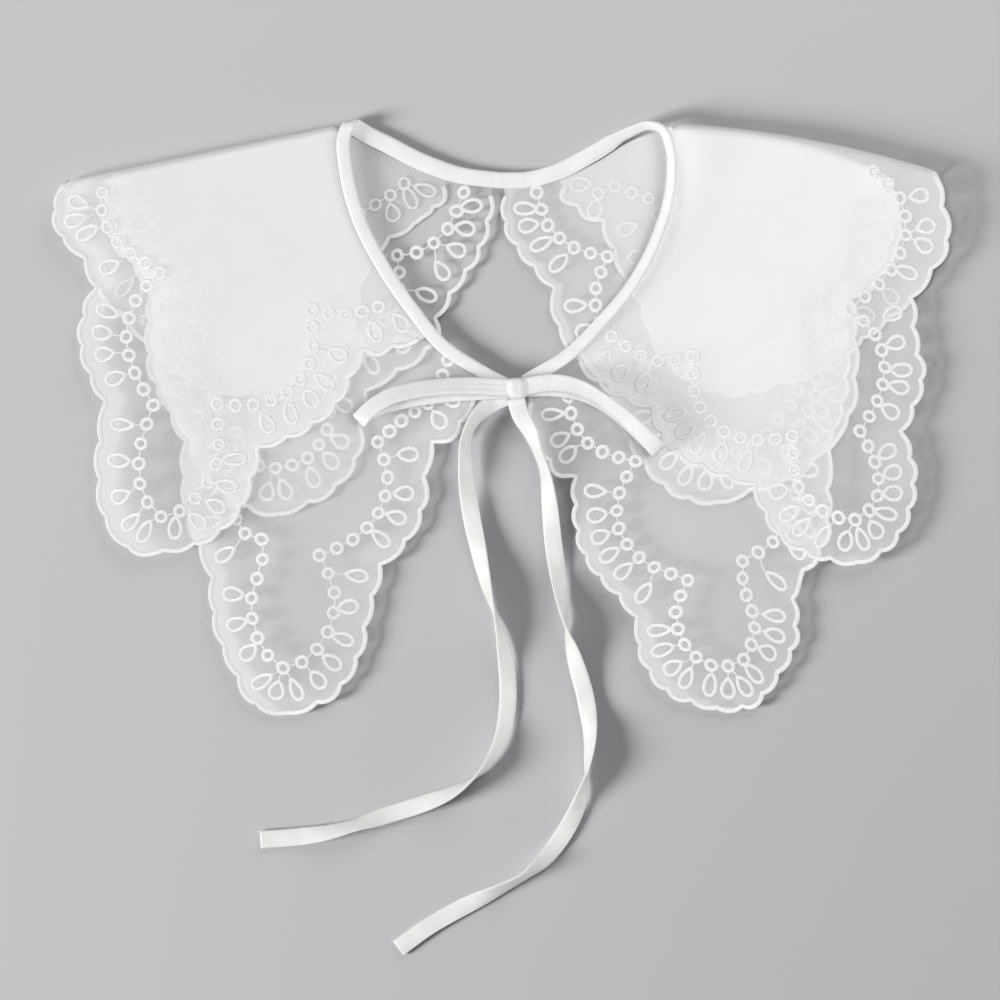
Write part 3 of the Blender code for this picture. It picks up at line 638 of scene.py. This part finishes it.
def sheet_mesh(name, polygon, rim, fold, material):
    """A fine open sheet inside the polygon, folded over the shoulder."""
    low = polygon.min(axis=0)
    high = polygon.max(axis=0)
    radius = float(np.max(fold.radius(np.array((0.0, fold.length)))))
    marks = [0.0]
    while marks[-1] < max(high[1], -low[1]):
        marks.append(marks[-1] + CLOTH_GRID * (0.2 if marks[-1] < radius + 0.5 else 0.87))
    rows = []
    for row, t in enumerate([-m for m in marks[:0:-1]] + marks):
        along = np.arange(low[0] + (CLOTH_GRID / 2 if row % 2 else 0.0), high[0], CLOTH_GRID)
        rows.append(np.column_stack((along, np.full(len(along), t))))
    points = np.concatenate(rows)
    points = points[inside(points, polygon)]
    points = points[distance_to(points, np.concatenate((polygon, polygon[:1]))) > CLOTH_GRID * 0.4]
    everything = np.concatenate((polygon, points))
    edges = [(i, (i + 1) % len(polygon)) for i in range(len(polygon))]
    result = delaunay_2d_cdt([Vector(p) for p in everything], edges, [], 1, 1e-5)
    flat = np.array([tuple(p) for p in result[0]])
    faces = np.array([tuple(f) for f in result[2]])
    a, b, c = (flat[faces[:, k]] for k in range(3))
    turn = (b[:, 0] - a[:, 0]) * (c[:, 1] - a[:, 1]) - (b[:, 1] - a[:, 1]) * (c[:, 0] - a[:, 0])
    wanted = turn * fold.outer > 0
    faces = np.where(wanted[:, None], faces, faces[:, ::-1])
    area = float(np.abs(turn).sum() / 2)
    item = build_object(name, fold.middle(flat), [tuple(f) for f in faces.tolist()], material, flat)
    layer = item.data.attributes.new("Cover", "FLOAT", "POINT")
    layer.data.foreach_set("value", cover(flat, rim, fold).astype(np.float32))
    return item, area, high - low


def tier_half(side, tier, front, back, corner, inset, organza, thread):
    """One cloth of the collar with its satin-stitched edge and its embroidery."""
    low, high = (BACK_UPPER_Z, FRONT_UPPER_Z) if tier == "upper" else (BACK_LOWER_Z, FRONT_LOWER_Z)
    fold = Fold(WINGS[side], inset, low, high)
    above = [outline(side, panel, end) for panel, end in LAYERS[side]]
    fold.over[True] = above[:0 if tier == "upper" else 1]
    fold.over[False] = above[:3 if tier == "upper" else 2]
    outward = 1.0 if side == "left" else -1.0
    front_lines = lobe_lines(front, corner, -outward)
    back_lines = lobe_lines(back, corner, -outward)
    front_edge = fold.flat(scalloped(front_lines))
    back_edge = fold.flat(scalloped(back_lines), False)
    front_edge[-1][1] = 0.0
    edge = np.concatenate((front_edge, back_edge[-2::-1]))
    front_neck = neck_line(fold, front, True)
    back_neck = neck_line(fold, back, False)
    polygon = tidy_loop(np.concatenate((front_neck, edge, back_neck[::-1])), 0.3)
    name = f"{tier}_tier_{side}_cloth"
    cloth, area, size = sheet_mesh(name, polygon, edge, fold, organza)
    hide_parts(f"{tier}_tier_{side}")
    chance = random.Random(f"{tier} {side}")
    pile = Pile()
    rim = tidy_loop(edge, 0.3)
    rim = rim[:-1] if np.linalg.norm(rim[-1] - rim[-2]) < 0.3 else rim
    run = unit(np.gradient(rim, axis=0))
    inner = np.stack((-run[:, 1], run[:, 0]), axis=1)
    centre = polygon.mean(axis=0)
    if np.mean(np.sum((centre - rim) * inner, axis=1)) < 0:
        inner = -inner
    satin_cord(pile, fold, rim + inner * EDGING_WIDTH / 2, EDGING_WIDTH, STITCH_THICK, False, 8)
    embroider(pile, fold, front, front_lines, True, chance, 1.0)
    embroider(pile, fold, back, back_lines, False, chance, WRONG_SIDE if tier == "upper" else 1.0)
    stitches = pile.build(f"{tier}_tier_{side}_embroidery", thread)
    pile.shade(stitches, fold)
    return cloth, stitches


# Looks
def shader_tree(name):
    material = bpy.data.materials.new(name)
    material.use_nodes = True
    tree = material.node_tree
    return material, tree, tree.nodes["Principled BSDF"]


def link_bump(tree, shader, height, strength, distance):
    bump = tree.nodes.new("ShaderNodeBump")
    bump.inputs["Strength"].default_value = strength
    bump.inputs["Distance"].default_value = distance
    tree.links.new(height, bump.inputs["Height"])
    tree.links.new(bump.outputs["Normal"], shader.inputs["Normal"])


def organza_material():
    """Sheer plain-weave organza: mostly see-through, white, with a fine weave and a soft sheen."""
    material, tree, shader = shader_tree("organza")
    # Alpha comes from the Cover attribute, which holds painted light along the left border and painted shade inside
    # the neck
    filled = tree.nodes.new("ShaderNodeAttribute")
    filled.attribute_name = "Cover"
    tree.links.new(filled.outputs["Fac"], shader.inputs["Alpha"])
    shader.inputs["Roughness"].default_value = 0.5
    shader.inputs["Sheen Weight"].default_value = 0.25
    shader.inputs["Sheen Roughness"].default_value = 0.4
    uv = tree.nodes.new("ShaderNodeUVMap")
    uv.uv_map = "Cut"
    warp = tree.nodes.new("ShaderNodeTexWave")
    warp.bands_direction = "X"
    warp.inputs["Scale"].default_value = 1.1
    weft = tree.nodes.new("ShaderNodeTexWave")
    weft.bands_direction = "Y"
    weft.inputs["Scale"].default_value = 1.1
    weave = tree.nodes.new("ShaderNodeMath")
    weave.operation = "MAXIMUM"
    for wave, socket in ((warp, 0), (weft, 1)):
        wave.inputs["Distortion"].default_value = 0.4
        tree.links.new(uv.outputs["UV"], wave.inputs["Vector"])
        tree.links.new(wave.outputs["Fac"], weave.inputs[socket])
    link_bump(tree, shader, weave.outputs[0], 0.15, 0.0001)
    cloud = tree.nodes.new("ShaderNodeTexNoise")
    cloud.inputs["Scale"].default_value = 0.03
    cloud.inputs["Detail"].default_value = 3.0
    tree.links.new(uv.outputs["UV"], cloud.inputs["Vector"])
    tint = tree.nodes.new("ShaderNodeValToRGB")
    tint.color_ramp.elements[0].color = (0.93, 0.94, 0.945, 1)
    tint.color_ramp.elements[1].color = (0.99, 0.99, 0.985, 1)
    tree.links.new(cloud.outputs["Fac"], tint.inputs["Fac"])
    tree.links.new(tint.outputs["Color"], shader.inputs["Base Color"])
    return material


def thread_material():
    """White satin stitch: fine threads laid side by side across the line, with painted shade where organza layers
    cover it.
    """
    material, tree, shader = shader_tree("satin_stitch")
    shader.inputs["Roughness"].default_value = 0.42
    shader.inputs["Sheen Weight"].default_value = 0.2
    uv = tree.nodes.new("ShaderNodeUVMap")
    uv.uv_map = "Cut"
    threads = tree.nodes.new("ShaderNodeTexWave")
    threads.bands_direction = "X"
    threads.inputs["Scale"].default_value = 0.9
    threads.inputs["Distortion"].default_value = 0.6
    threads.inputs["Detail"].default_value = 1.0
    tree.links.new(uv.outputs["UV"], threads.inputs["Vector"])
    link_bump(tree, shader, threads.outputs["Fac"], 0.5, 0.0002)
    tint = tree.nodes.new("ShaderNodeValToRGB")
    tint.color_ramp.elements[0].color = (0.88, 0.88, 0.87, 1)
    tint.color_ramp.elements[1].color = (0.96, 0.96, 0.95, 1)
    tree.links.new(threads.outputs["Fac"], tint.inputs["Fac"])
    # Painted shade: the thread colour is darkened where organza layers lie over it
    tone = tree.nodes.new("ShaderNodeAttribute")
    tone.attribute_name = "PaintedShade"
    shade = tree.nodes.new("ShaderNodeVectorMath")
    shade.operation = "SCALE"
    tree.links.new(tint.outputs["Color"], shade.inputs["Vector"])
    tree.links.new(tone.outputs["Fac"], shade.inputs["Scale"])
    tree.links.new(shade.outputs["Vector"], shader.inputs["Base Color"])
    return material


def satin_material(name, low, high):
    """Matt-backed satin tape: a fine diagonal weave, a soft sheen and slight unevenness."""
    material, tree, shader = shader_tree(name)
    shader.inputs["Roughness"].default_value = 0.48
    shader.inputs["Sheen Weight"].default_value = 0.15
    place = tree.nodes.new("ShaderNodeTexCoord")
    twill = tree.nodes.new("ShaderNodeTexWave")
    twill.bands_direction = "DIAGONAL"
    twill.inputs["Scale"].default_value = 900.0
    twill.inputs["Distortion"].default_value = 0.8
    cloud = tree.nodes.new("ShaderNodeTexNoise")
    cloud.inputs["Scale"].default_value = 140.0
    cloud.inputs["Detail"].default_value = 4.0
    for node in (twill, cloud):
        tree.links.new(place.outputs["Object"], node.inputs["Vector"])
    link_bump(tree, shader, twill.outputs["Fac"], 0.12, 0.0001)
    tint = tree.nodes.new("ShaderNodeValToRGB")
    tint.color_ramp.elements[0].position = 0.3
    tint.color_ramp.elements[0].color = (*low, 1)
    tint.color_ramp.elements[1].position = 0.7
    tint.color_ramp.elements[1].color = (*high, 1)
    tree.links.new(cloud.outputs["Fac"], tint.inputs["Fac"])
    tree.links.new(tint.outputs["Color"], shader.inputs["Base Color"])
    return material


# Ties: tilt is the turn of the flat tape about its own length, heading its level direction, in degrees
TAIL_LEFT = (
    Station(507, 396, 4.8, -2),
    Station(489, 405.5, 4.6, -7),
    Station(477, 416, 6.2, -42),
    Station(466, 438, 5.8, -56),
    Station(465, 468, 4.6, -40),
    Station(470, 508, 2.8, -6),
    Station(478, 548, 2.6, 22),
    Station(490, 600, 4.6, 72),
    Station(501, 636, 3.2, 122),
    Station(507, 672, 1.7, 160),
    Station(507, 712, 1.6, 165),
    Station(499, 745, 2.4, 140),
    Station(481, 772, 4.4, 106),
    Station(456, 790, 3.2, 60),
    Station(420, 805, 1.3, 14),
    Station(388, 815, 1.2, 10),
    Station(356, 825, 2.6, 50),
    Station(330, 832, 2.2, 36),
    Station(298, 837, 1.1, 6),
    Station(260, 840, 1.0, 2),
)
TAIL_RIGHT = (
    Station(515.5, 397.5, 4.9, 2),
    Station(520, 414, 5.3, 10),
    Station(530, 432, 5.6, 34),
    Station(537, 450, 5.4, 60),
    Station(545, 472, 5.0, 58),
    Station(549, 500, 3.8, 30),
    Station(553, 540, 2.0, 4),
    Station(560, 590, 3.0, -40),
    Station(565, 622, 4.8, -80),
    Station(575, 660, 2.6, -150),
    Station(586, 700, 1.6, -174),
    Station(590, 735, 2.8, -138),
    Station(587, 766, 4.6, -104),
    Station(578, 806, 2.2, -30),
    Station(553, 849, 1.4, -10),
    Station(524, 876, 3.6, -62),
    Station(500, 889, 3.2, -50),
    Station(462, 908, 1.3, -8),
    Station(430, 926, 1.1, 0),
    Station(398, 949, 1.0, 0),
)
LOOP_LEFT = (
    Bend(510, 388, 9.2, 90, -4),
    Bend(472, 386, 10.0, 90, -12),
    Bend(440, 387, 10.8, 92, -18),
    Bend(412, 391, 11.2, 97, -20),
    Bend(388, 398, 11.2, 108, -20),
    Bend(371, 409, 11.0, 122, -20),
    Bend(362, 418, 10.6, 131, -16),
    Bend(360.3, 420.1, 10.15, 132, -12),
    Bend(359.6, 421, 9.0, 132, -10),
    Bend(360.3, 420.1, 7.85, 132, -12),
    Bend(362, 418, 7.4, 131, -16),
    Bend(374, 410, 7.0, 122, -20),
    Bend(398, 402, 6.9, 104, -18),
    Bend(430, 396, 6.8, 94, -12),
    Bend(470, 392, 6.5, 90, -4),
    Bend(510, 390, 6.4, 90, -2),
)
LOOP_RIGHT = (
    Bend(524, 387, 9.3, 90, 2),
    Bend(552, 383, 10.4, 86, 12),
    Bend(578, 387.5, 11.4, 72, 30),
    Bend(600, 399, 11.9, 58, 44),
    Bend(620, 414, 11.9, 49, 38),
    Bend(640, 432, 11.6, 45, 28),
    Bend(656.5, 448.5, 10.6, 44, 14),
    Bend(658.2, 450.2, 10.15, 44, 12),
    Bend(658.9, 450.9, 9.0, 44, 10),
    Bend(658.2, 450.2, 7.85, 44, 12),
    Bend(656.5, 448.5, 7.4, 44, 14),
    Bend(640, 433, 7.2, 45, 28),
    Bend(620, 416, 7.8, 49, 36),
    Bend(600, 402, 8.1, 58, 38),
    Bend(578, 392, 7.4, 72, 24),
    Bend(555, 388, 6.8, 86, 8),
    Bend(524, 388, 6.4, 90, 2),
)
KNOT_CENTRE = (517, 388.5, 7.7)
KNOT_HALF = (5.0, 4.8, 3.4)
STRIP_FRONT_LEFT = ((509, 386), (500, 381.8), (473.5, 367), (444.5, 347.5), (412.5, 310), (382.5, 266), (358, 217.5),
                    (345, 164), (343.5, 140))
STRIP_BACK_LEFT = ((360, 130), (386.5, 143.8), (421, 161.3), (459, 174.6), (500, 180))
STRIP_RIGHT = (
    Station(530, 178.8, 1.25, 0),
    Station(556, 171.8, 1.4, 4),
    Station(594, 152.6, 2.3, 16),
    Station(629, 132, 4.4, 34),
    Station(649, 125.5, 6.4, 50),
    Station(662, 130, 8.0, 54),
    Station(669.5, 147, 8.8, 50),
    Station(671.5, 170, 8.8, 46),
    Station(669, 196, 8.2, 42),
    Station(657.5, 235, 7.4, 38),
    Station(633.5, 282, 6.4, 32),
    Station(597.5, 326, 5.2, 20),
    Station(563, 359, 4.5, 8),
    Station(534, 376, 4.2, 2),
    Station(524, 382, 4.2, 0),
)

# Half a cross-section: shares of the half width and of the half thickness, with a stitched line near one edge
TAPE_TOP = ((0.97, 0.55), (0.87, 0.95), (0.78, 0.72), (0.69, 0.98), (0.35, 1.06), (0.0, 1.1),
            (-0.35, 1.06), (-0.72, 1.0), (-0.92, 0.75))
LOOP_TOP = tuple((a / 20, (1 - abs(a / 20) ** 8) ** 0.5 + 0.15 * (1 - (a / 20) ** 2)) for a in range(19, -20, -2))
PLEATS = ((0.34, -0.1, 0.55), (-0.3, 0.12, 0.7))
TAPE_UNDER = ((-1.0, 0.0), (-0.92, -0.75), (-0.6, -1.0), (0.0, -1.0), (0.6, -1.0), (0.92, -0.75), (1.0, 0.0))


def pleated(across, height, share):
    """The height of a loop's face: pleats (place, drift, depth) that are deepest at the knot."""
    near = np.minimum(share, 1 - share)
    depth = 0.25 + 0.75 * np.exp(-(near / 0.13) ** 2)
    for place, drift, deep in PLEATS:
        height = height - deep * depth * math.exp(-0.5) * np.exp(-((across - place - drift * near * 4) / 0.13) ** 2)
    return height


def strip(name, places, edges, width, thick, material, top=TAPE_TOP, pleats=False):
    """A folded strip of satin through places; edges gives the way across it at each."""
    tangent = unit(np.gradient(places, axis=0))
    side = unit(edges - tangent * np.sum(edges * tangent, axis=1, keepdims=True))
    up = np.cross(tangent, side)
    up = up * np.where(up[:, 2:3].mean() < 0, -1.0, 1.0)
    sections = []
    half = np.broadcast_to(width, len(places))[:, None] / 2
    share = np.linspace(0, 1, len(places))[:, None]
    for a, b in top + TAPE_UNDER:
        rise = pleated(a, b, share) if pleats and b > 0 else b
        sections.append(places + side * (a * half) + up * (rise * thick / 2))
    lengths = np.concatenate(([0.0], np.cumsum(np.linalg.norm(np.diff(places, axis=0), axis=1))))
    pile = Pile()
    pile.tube(np.stack(sections, axis=1), lengths, False)
    return pile.build(name, material)


def tape_route(stations, width, thick):
    """Places along a tape at even distances and the way across it at each."""
    bent = hasattr(stations[0], "heading")
    rows = [(*plan((s.x, s.y)), s.z, s.tilt * 0.05, (s.heading if bent else 0.0) * 0.05) for s in stations]
    curve = smooth_curve(rows, 12)
    length = float(np.sum(np.linalg.norm(np.diff(curve[:, :3], axis=0), axis=1)))
    curve = resample(curve, int(length / 1.1))
    places = curve[:, :3].copy()
    tangent = np.gradient(places, axis=0)
    tilt = np.radians(curve[:, 3] / 0.05)
    turn = np.radians(curve[:, 4] / 0.05)
    level = np.column_stack((np.cos(turn), np.sin(turn), np.zeros(len(turn))))
    if not bent:
        level = unit(np.column_stack((-tangent[:, 1], tangent[:, 0], np.zeros(len(turn)))))
    edges = level * np.cos(tilt)[:, None] + np.array((0.0, 0.0, 1.0)) * np.sin(tilt)[:, None]
    floor = np.abs(np.sin(tilt)) * width / 2 + np.abs(np.cos(tilt)) * thick / 2 + 0.15
    places[:, 2] = np.maximum(places[:, 2], floor)
    return places, edges


def tail(name, stations, material):
    """One free end of the tie."""
    places, edges = tape_route(stations, TAPE_WIDTH, TAPE_THICK)
    item = strip(f"{name}_satin", places, edges, TAPE_WIDTH, TAPE_THICK, material)
    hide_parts(name)
    return item


def bow_loop(name, stations, material):
    places, edges = tape_route(stations, TAPE_WIDTH, TAPE_THICK)
    item = strip(f"{name}_satin", places, edges, TAPE_WIDTH, TAPE_THICK, material, LOOP_TOP, True)
    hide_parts(name)
    return item


def neck_strip(material):
    """The bound strip: folded over the left shoulder, standing round the right one."""
    fold = Fold(WINGS["left"], lambda u: 0.0 * u, 1.56, 3.95)
    front = fold.flat([plan(p) for p in STRIP_FRONT_LEFT])
    back = fold.flat([plan(p) for p in STRIP_BACK_LEFT], False)
    curve = smooth_curve(np.concatenate((front, back)), 14)
    length = float(np.sum(np.linalg.norm(np.diff(curve, axis=0), axis=1)))
    curve = resample(curve, int(length / 1.2))
    run = unit(np.gradient(curve, axis=0))
    across = np.stack((-run[:, 1], run[:, 0]), axis=1)
    places = fold.middle(curve)
    edges = unit(fold.middle(curve + across * 1.5) - fold.middle(curve - across * 1.5))
    rows = [(*plan((s.x, s.y)), s.z, s.tilt * 0.05) for s in STRIP_RIGHT]
    right = smooth_curve([(*places[-1], 0.0)] + rows, 12)
    length = float(np.sum(np.linalg.norm(np.diff(right[:, :3], axis=0), axis=1)))
    right = resample(right, int(length / 1.2))[1:]
    heading = np.gradient(right[:, :3], axis=0)
    level = unit(np.column_stack((-heading[:, 1], heading[:, 0], np.zeros(len(heading)))))
    turned = math.copysign(1.0, float(level[0] @ edges[-1]))
    angle = np.radians(right[:, 3] / 0.05)[:, None]
    places_right = right[:, :3].copy()
    floor = np.sin(angle[:, 0]) * BINDING_BACK / 2 + np.cos(angle[:, 0]) * BINDING_THICK / 2 + 0.05
    places_right[:, 2] = np.maximum(places_right[:, 2], floor)
    edges_right = turned * (level * np.cos(angle) + np.array((0.0, 0.0, 1.0)) * np.sin(angle))
    places = np.concatenate((places, places_right))
    edges = np.concatenate((edges, edges_right))
    share = np.clip((places[:, 1] - NARROW_Y) / (WIDE_Y - NARROW_Y), 0, 1) * (places[:, 2] < WIDE_Z)
    share = np.convolve(np.pad(share, 2, mode="edge"), np.full(5, 0.2), "valid")
    widths = BINDING_FRONT + (BINDING_BACK - BINDING_FRONT) * share
    widths = widths + 0.3 - STANDING * np.abs(edges[:, 2])
    item = strip("neck_binding_satin", places, edges, widths, BINDING_THICK, material)
    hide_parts("neck_binding")
    return item


def knot(material):
    """The wrapped knot: a soft pillow with the lengthwise folds of the band that wraps it."""
    cx, cy = plan(KNOT_CENTRE[:2])
    cz = KNOT_CENTRE[2]
    hx, hy, hz = KNOT_HALF
    rings = 28
    around = 48
    sections = []
    for k in range(around):
        a = 2 * math.pi * k / around
        ca = math.copysign(abs(math.cos(a)) ** 0.7, math.cos(a))
        sa = math.copysign(abs(math.sin(a)) ** 0.7, math.sin(a))
        column = []
        for i in range(rings + 1):
            v = -0.995 + 1.99 * i / rings
            shrink = (1 - abs(v) ** 3.2) ** (1 / 3.2)
            pleat = 1 - 0.05 * math.cos(ca * 9.0 + 0.8 * v) * abs(sa) - 0.04 * (1 - abs(v)) * abs(ca)
            column.append((cx + hx * shrink * ca, cy + hy * v, cz + hz * shrink * sa * pleat))
        sections.append(column)
    pile = Pile()
    pile.tube(np.array(sections).transpose(1, 0, 2), np.linspace(0, 2 * hy, rings + 1), False)
    item = pile.build("bow_knot_satin", material)
    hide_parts("bow_knot")
    return item


# Camera, floor and light
def camera():
    """Straight down, the picture's width 450 mm of the sheet."""
    data = bpy.data.cameras.new("camera")
    data.lens = 180.0
    data.clip_end = 20.0
    item = bpy.data.objects.new("camera", data)
    bpy.context.collection.objects.link(item)
    x, y = plan((500, 500)) * 0.001
    item.location = (x, y, 0.004 + 0.45 * data.lens / data.sensor_width)
    bpy.context.scene.camera = item


def floor():
    half = 3.0
    mesh = bpy.data.meshes.new("floor")
    corners = [(-half, -half, 0.0), (half, -half, 0.0), (half, half, 0.0), (-half, half, 0.0)]
    mesh.from_pydata([(x, y, -0.0003) for x, y, z in corners], [], [(0, 1, 2, 3)])
    item = bpy.data.objects.new("floor", mesh)
    bpy.context.collection.objects.link(item)
    material, tree, shader = shader_tree("paper")
    shader.inputs["Base Color"].default_value = (0.503, 0.511, 0.519, 1)
    shader.inputs["Roughness"].default_value = 0.9
    mesh.materials.append(material)
    return item


def area_light(name, lamp, power, lit, blockers=None):
    """A round soft light aimed at the collar's middle that lights one group, shaded by another or by all."""
    data = bpy.data.lights.new(name, "AREA")
    data.shape = "DISK"
    data.size = lamp.size
    data.energy = power
    item = bpy.data.objects.new(name, data)
    item.location = lamp.place
    item.rotation_euler = (-Vector(lamp.place)).to_track_quat("-Z", "Y").to_euler()
    item.light_linking.receiver_collection = lit
    item.light_linking.blocker_collection = blockers
    bpy.context.collection.objects.link(item)


def group(name, items):
    collection = bpy.data.collections.new(name)
    for item in items:
        collection.objects.link(item)
    return collection


def light(table, organza, satin):
    """Low light from the left and soft light from above; only the satin shades the soft light on the garment."""
    sheet = group("lit_table", [table])
    garment = group("lit_garment", organza + satin)
    solid = group("shading", satin)
    for lamp in LAMPS:
        if lamp.table_power:
            area_light(f"{lamp.name}_on_table", lamp, lamp.table_power, sheet)
        if lamp.garment_power:
            area_light(f"{lamp.name}_on_garment", lamp, lamp.garment_power, garment, None if lamp.hard else solid)
    world = bpy.data.worlds.new("studio")
    world.use_nodes = True
    world.node_tree.nodes["Background"].inputs["Color"].default_value = (0.95, 0.97, 1.0, 1)
    world.node_tree.nodes["Background"].inputs["Strength"].default_value = WORLD_STRENGTH
    bpy.context.scene.world = world
    bpy.context.scene.view_settings.view_transform = "Standard"


Lamp = namedtuple("Lamp", "name place size table_power garment_power hard")

# Places and diameters in metres, power in watts; organza dims a hard light and not a soft one
LAMPS = (
    Lamp("key", (-3.3, -0.9, 1.25), 1.15, 240.0, 112.0, True),
    Lamp("sky", (0.5, 0.95, 0.65), 0.9, 7.0, 0.0, False),
    Lamp("fill", (1.2, 0.2, 2.0), 1.8, 0.0, 37.0, False),
)
WORLD_STRENGTH = 0.2


# The upper three layers of each side, from the top, with the outer end of each one's fold
LAYERS = {
    "left": ((FRONT_UPPER_LEFT, (66, 182)), (FRONT_LOWER_LEFT, (105, 178)), (BACK_LOWER_LEFT, (105, 178))),
    "right": ((FRONT_UPPER_RIGHT, (935, 173)), (FRONT_LOWER_RIGHT, (890, 183)), (BACK_LOWER_RIGHT, (890, 183))),
}


def main():
    camera()
    table = floor()
    organza = organza_material()
    stitch = thread_material()
    binding = satin_material("satin_binding", (0.84, 0.84, 0.83), (0.91, 0.91, 0.90))
    tape = satin_material("satin_tape", (0.79, 0.785, 0.77), (0.87, 0.865, 0.85))
    satin = [
        tail("tail_left", TAIL_LEFT, tape),
        tail("tail_right", TAIL_RIGHT, tape),
        bow_loop("bow_loop_left", LOOP_LEFT, tape),
        bow_loop("bow_loop_right", LOOP_RIGHT, tape),
        knot(tape),
        neck_strip(binding),
    ]
    sheer = []
    for side, tier, front, back, corner, inset in TIERS:
        sheer += tier_half(side, tier, front, back, corner, inset, organza, stitch)
    light(table, sheer, satin)


# Side, tier, front and back panel, outer end of the shoulder fold, and how far the fold lies in from the upper one
TIERS = (
    ("left", "upper", FRONT_UPPER_LEFT, BACK_UPPER_LEFT, (66, 182), lambda u: 0.0 * u),
    ("left", "lower", FRONT_LOWER_LEFT, BACK_LOWER_LEFT, (105, 178), lambda u: PITCH + 0.4 * u),
    ("right", "upper", FRONT_UPPER_RIGHT, BACK_UPPER_RIGHT, (935, 173), lambda u: 0.0 * u),
    ("right", "lower", FRONT_LOWER_RIGHT, BACK_LOWER_RIGHT, (890, 183), lambda u: PITCH + 24.0 * np.maximum(u - 0.3, 0.0) ** 2),
)


main()
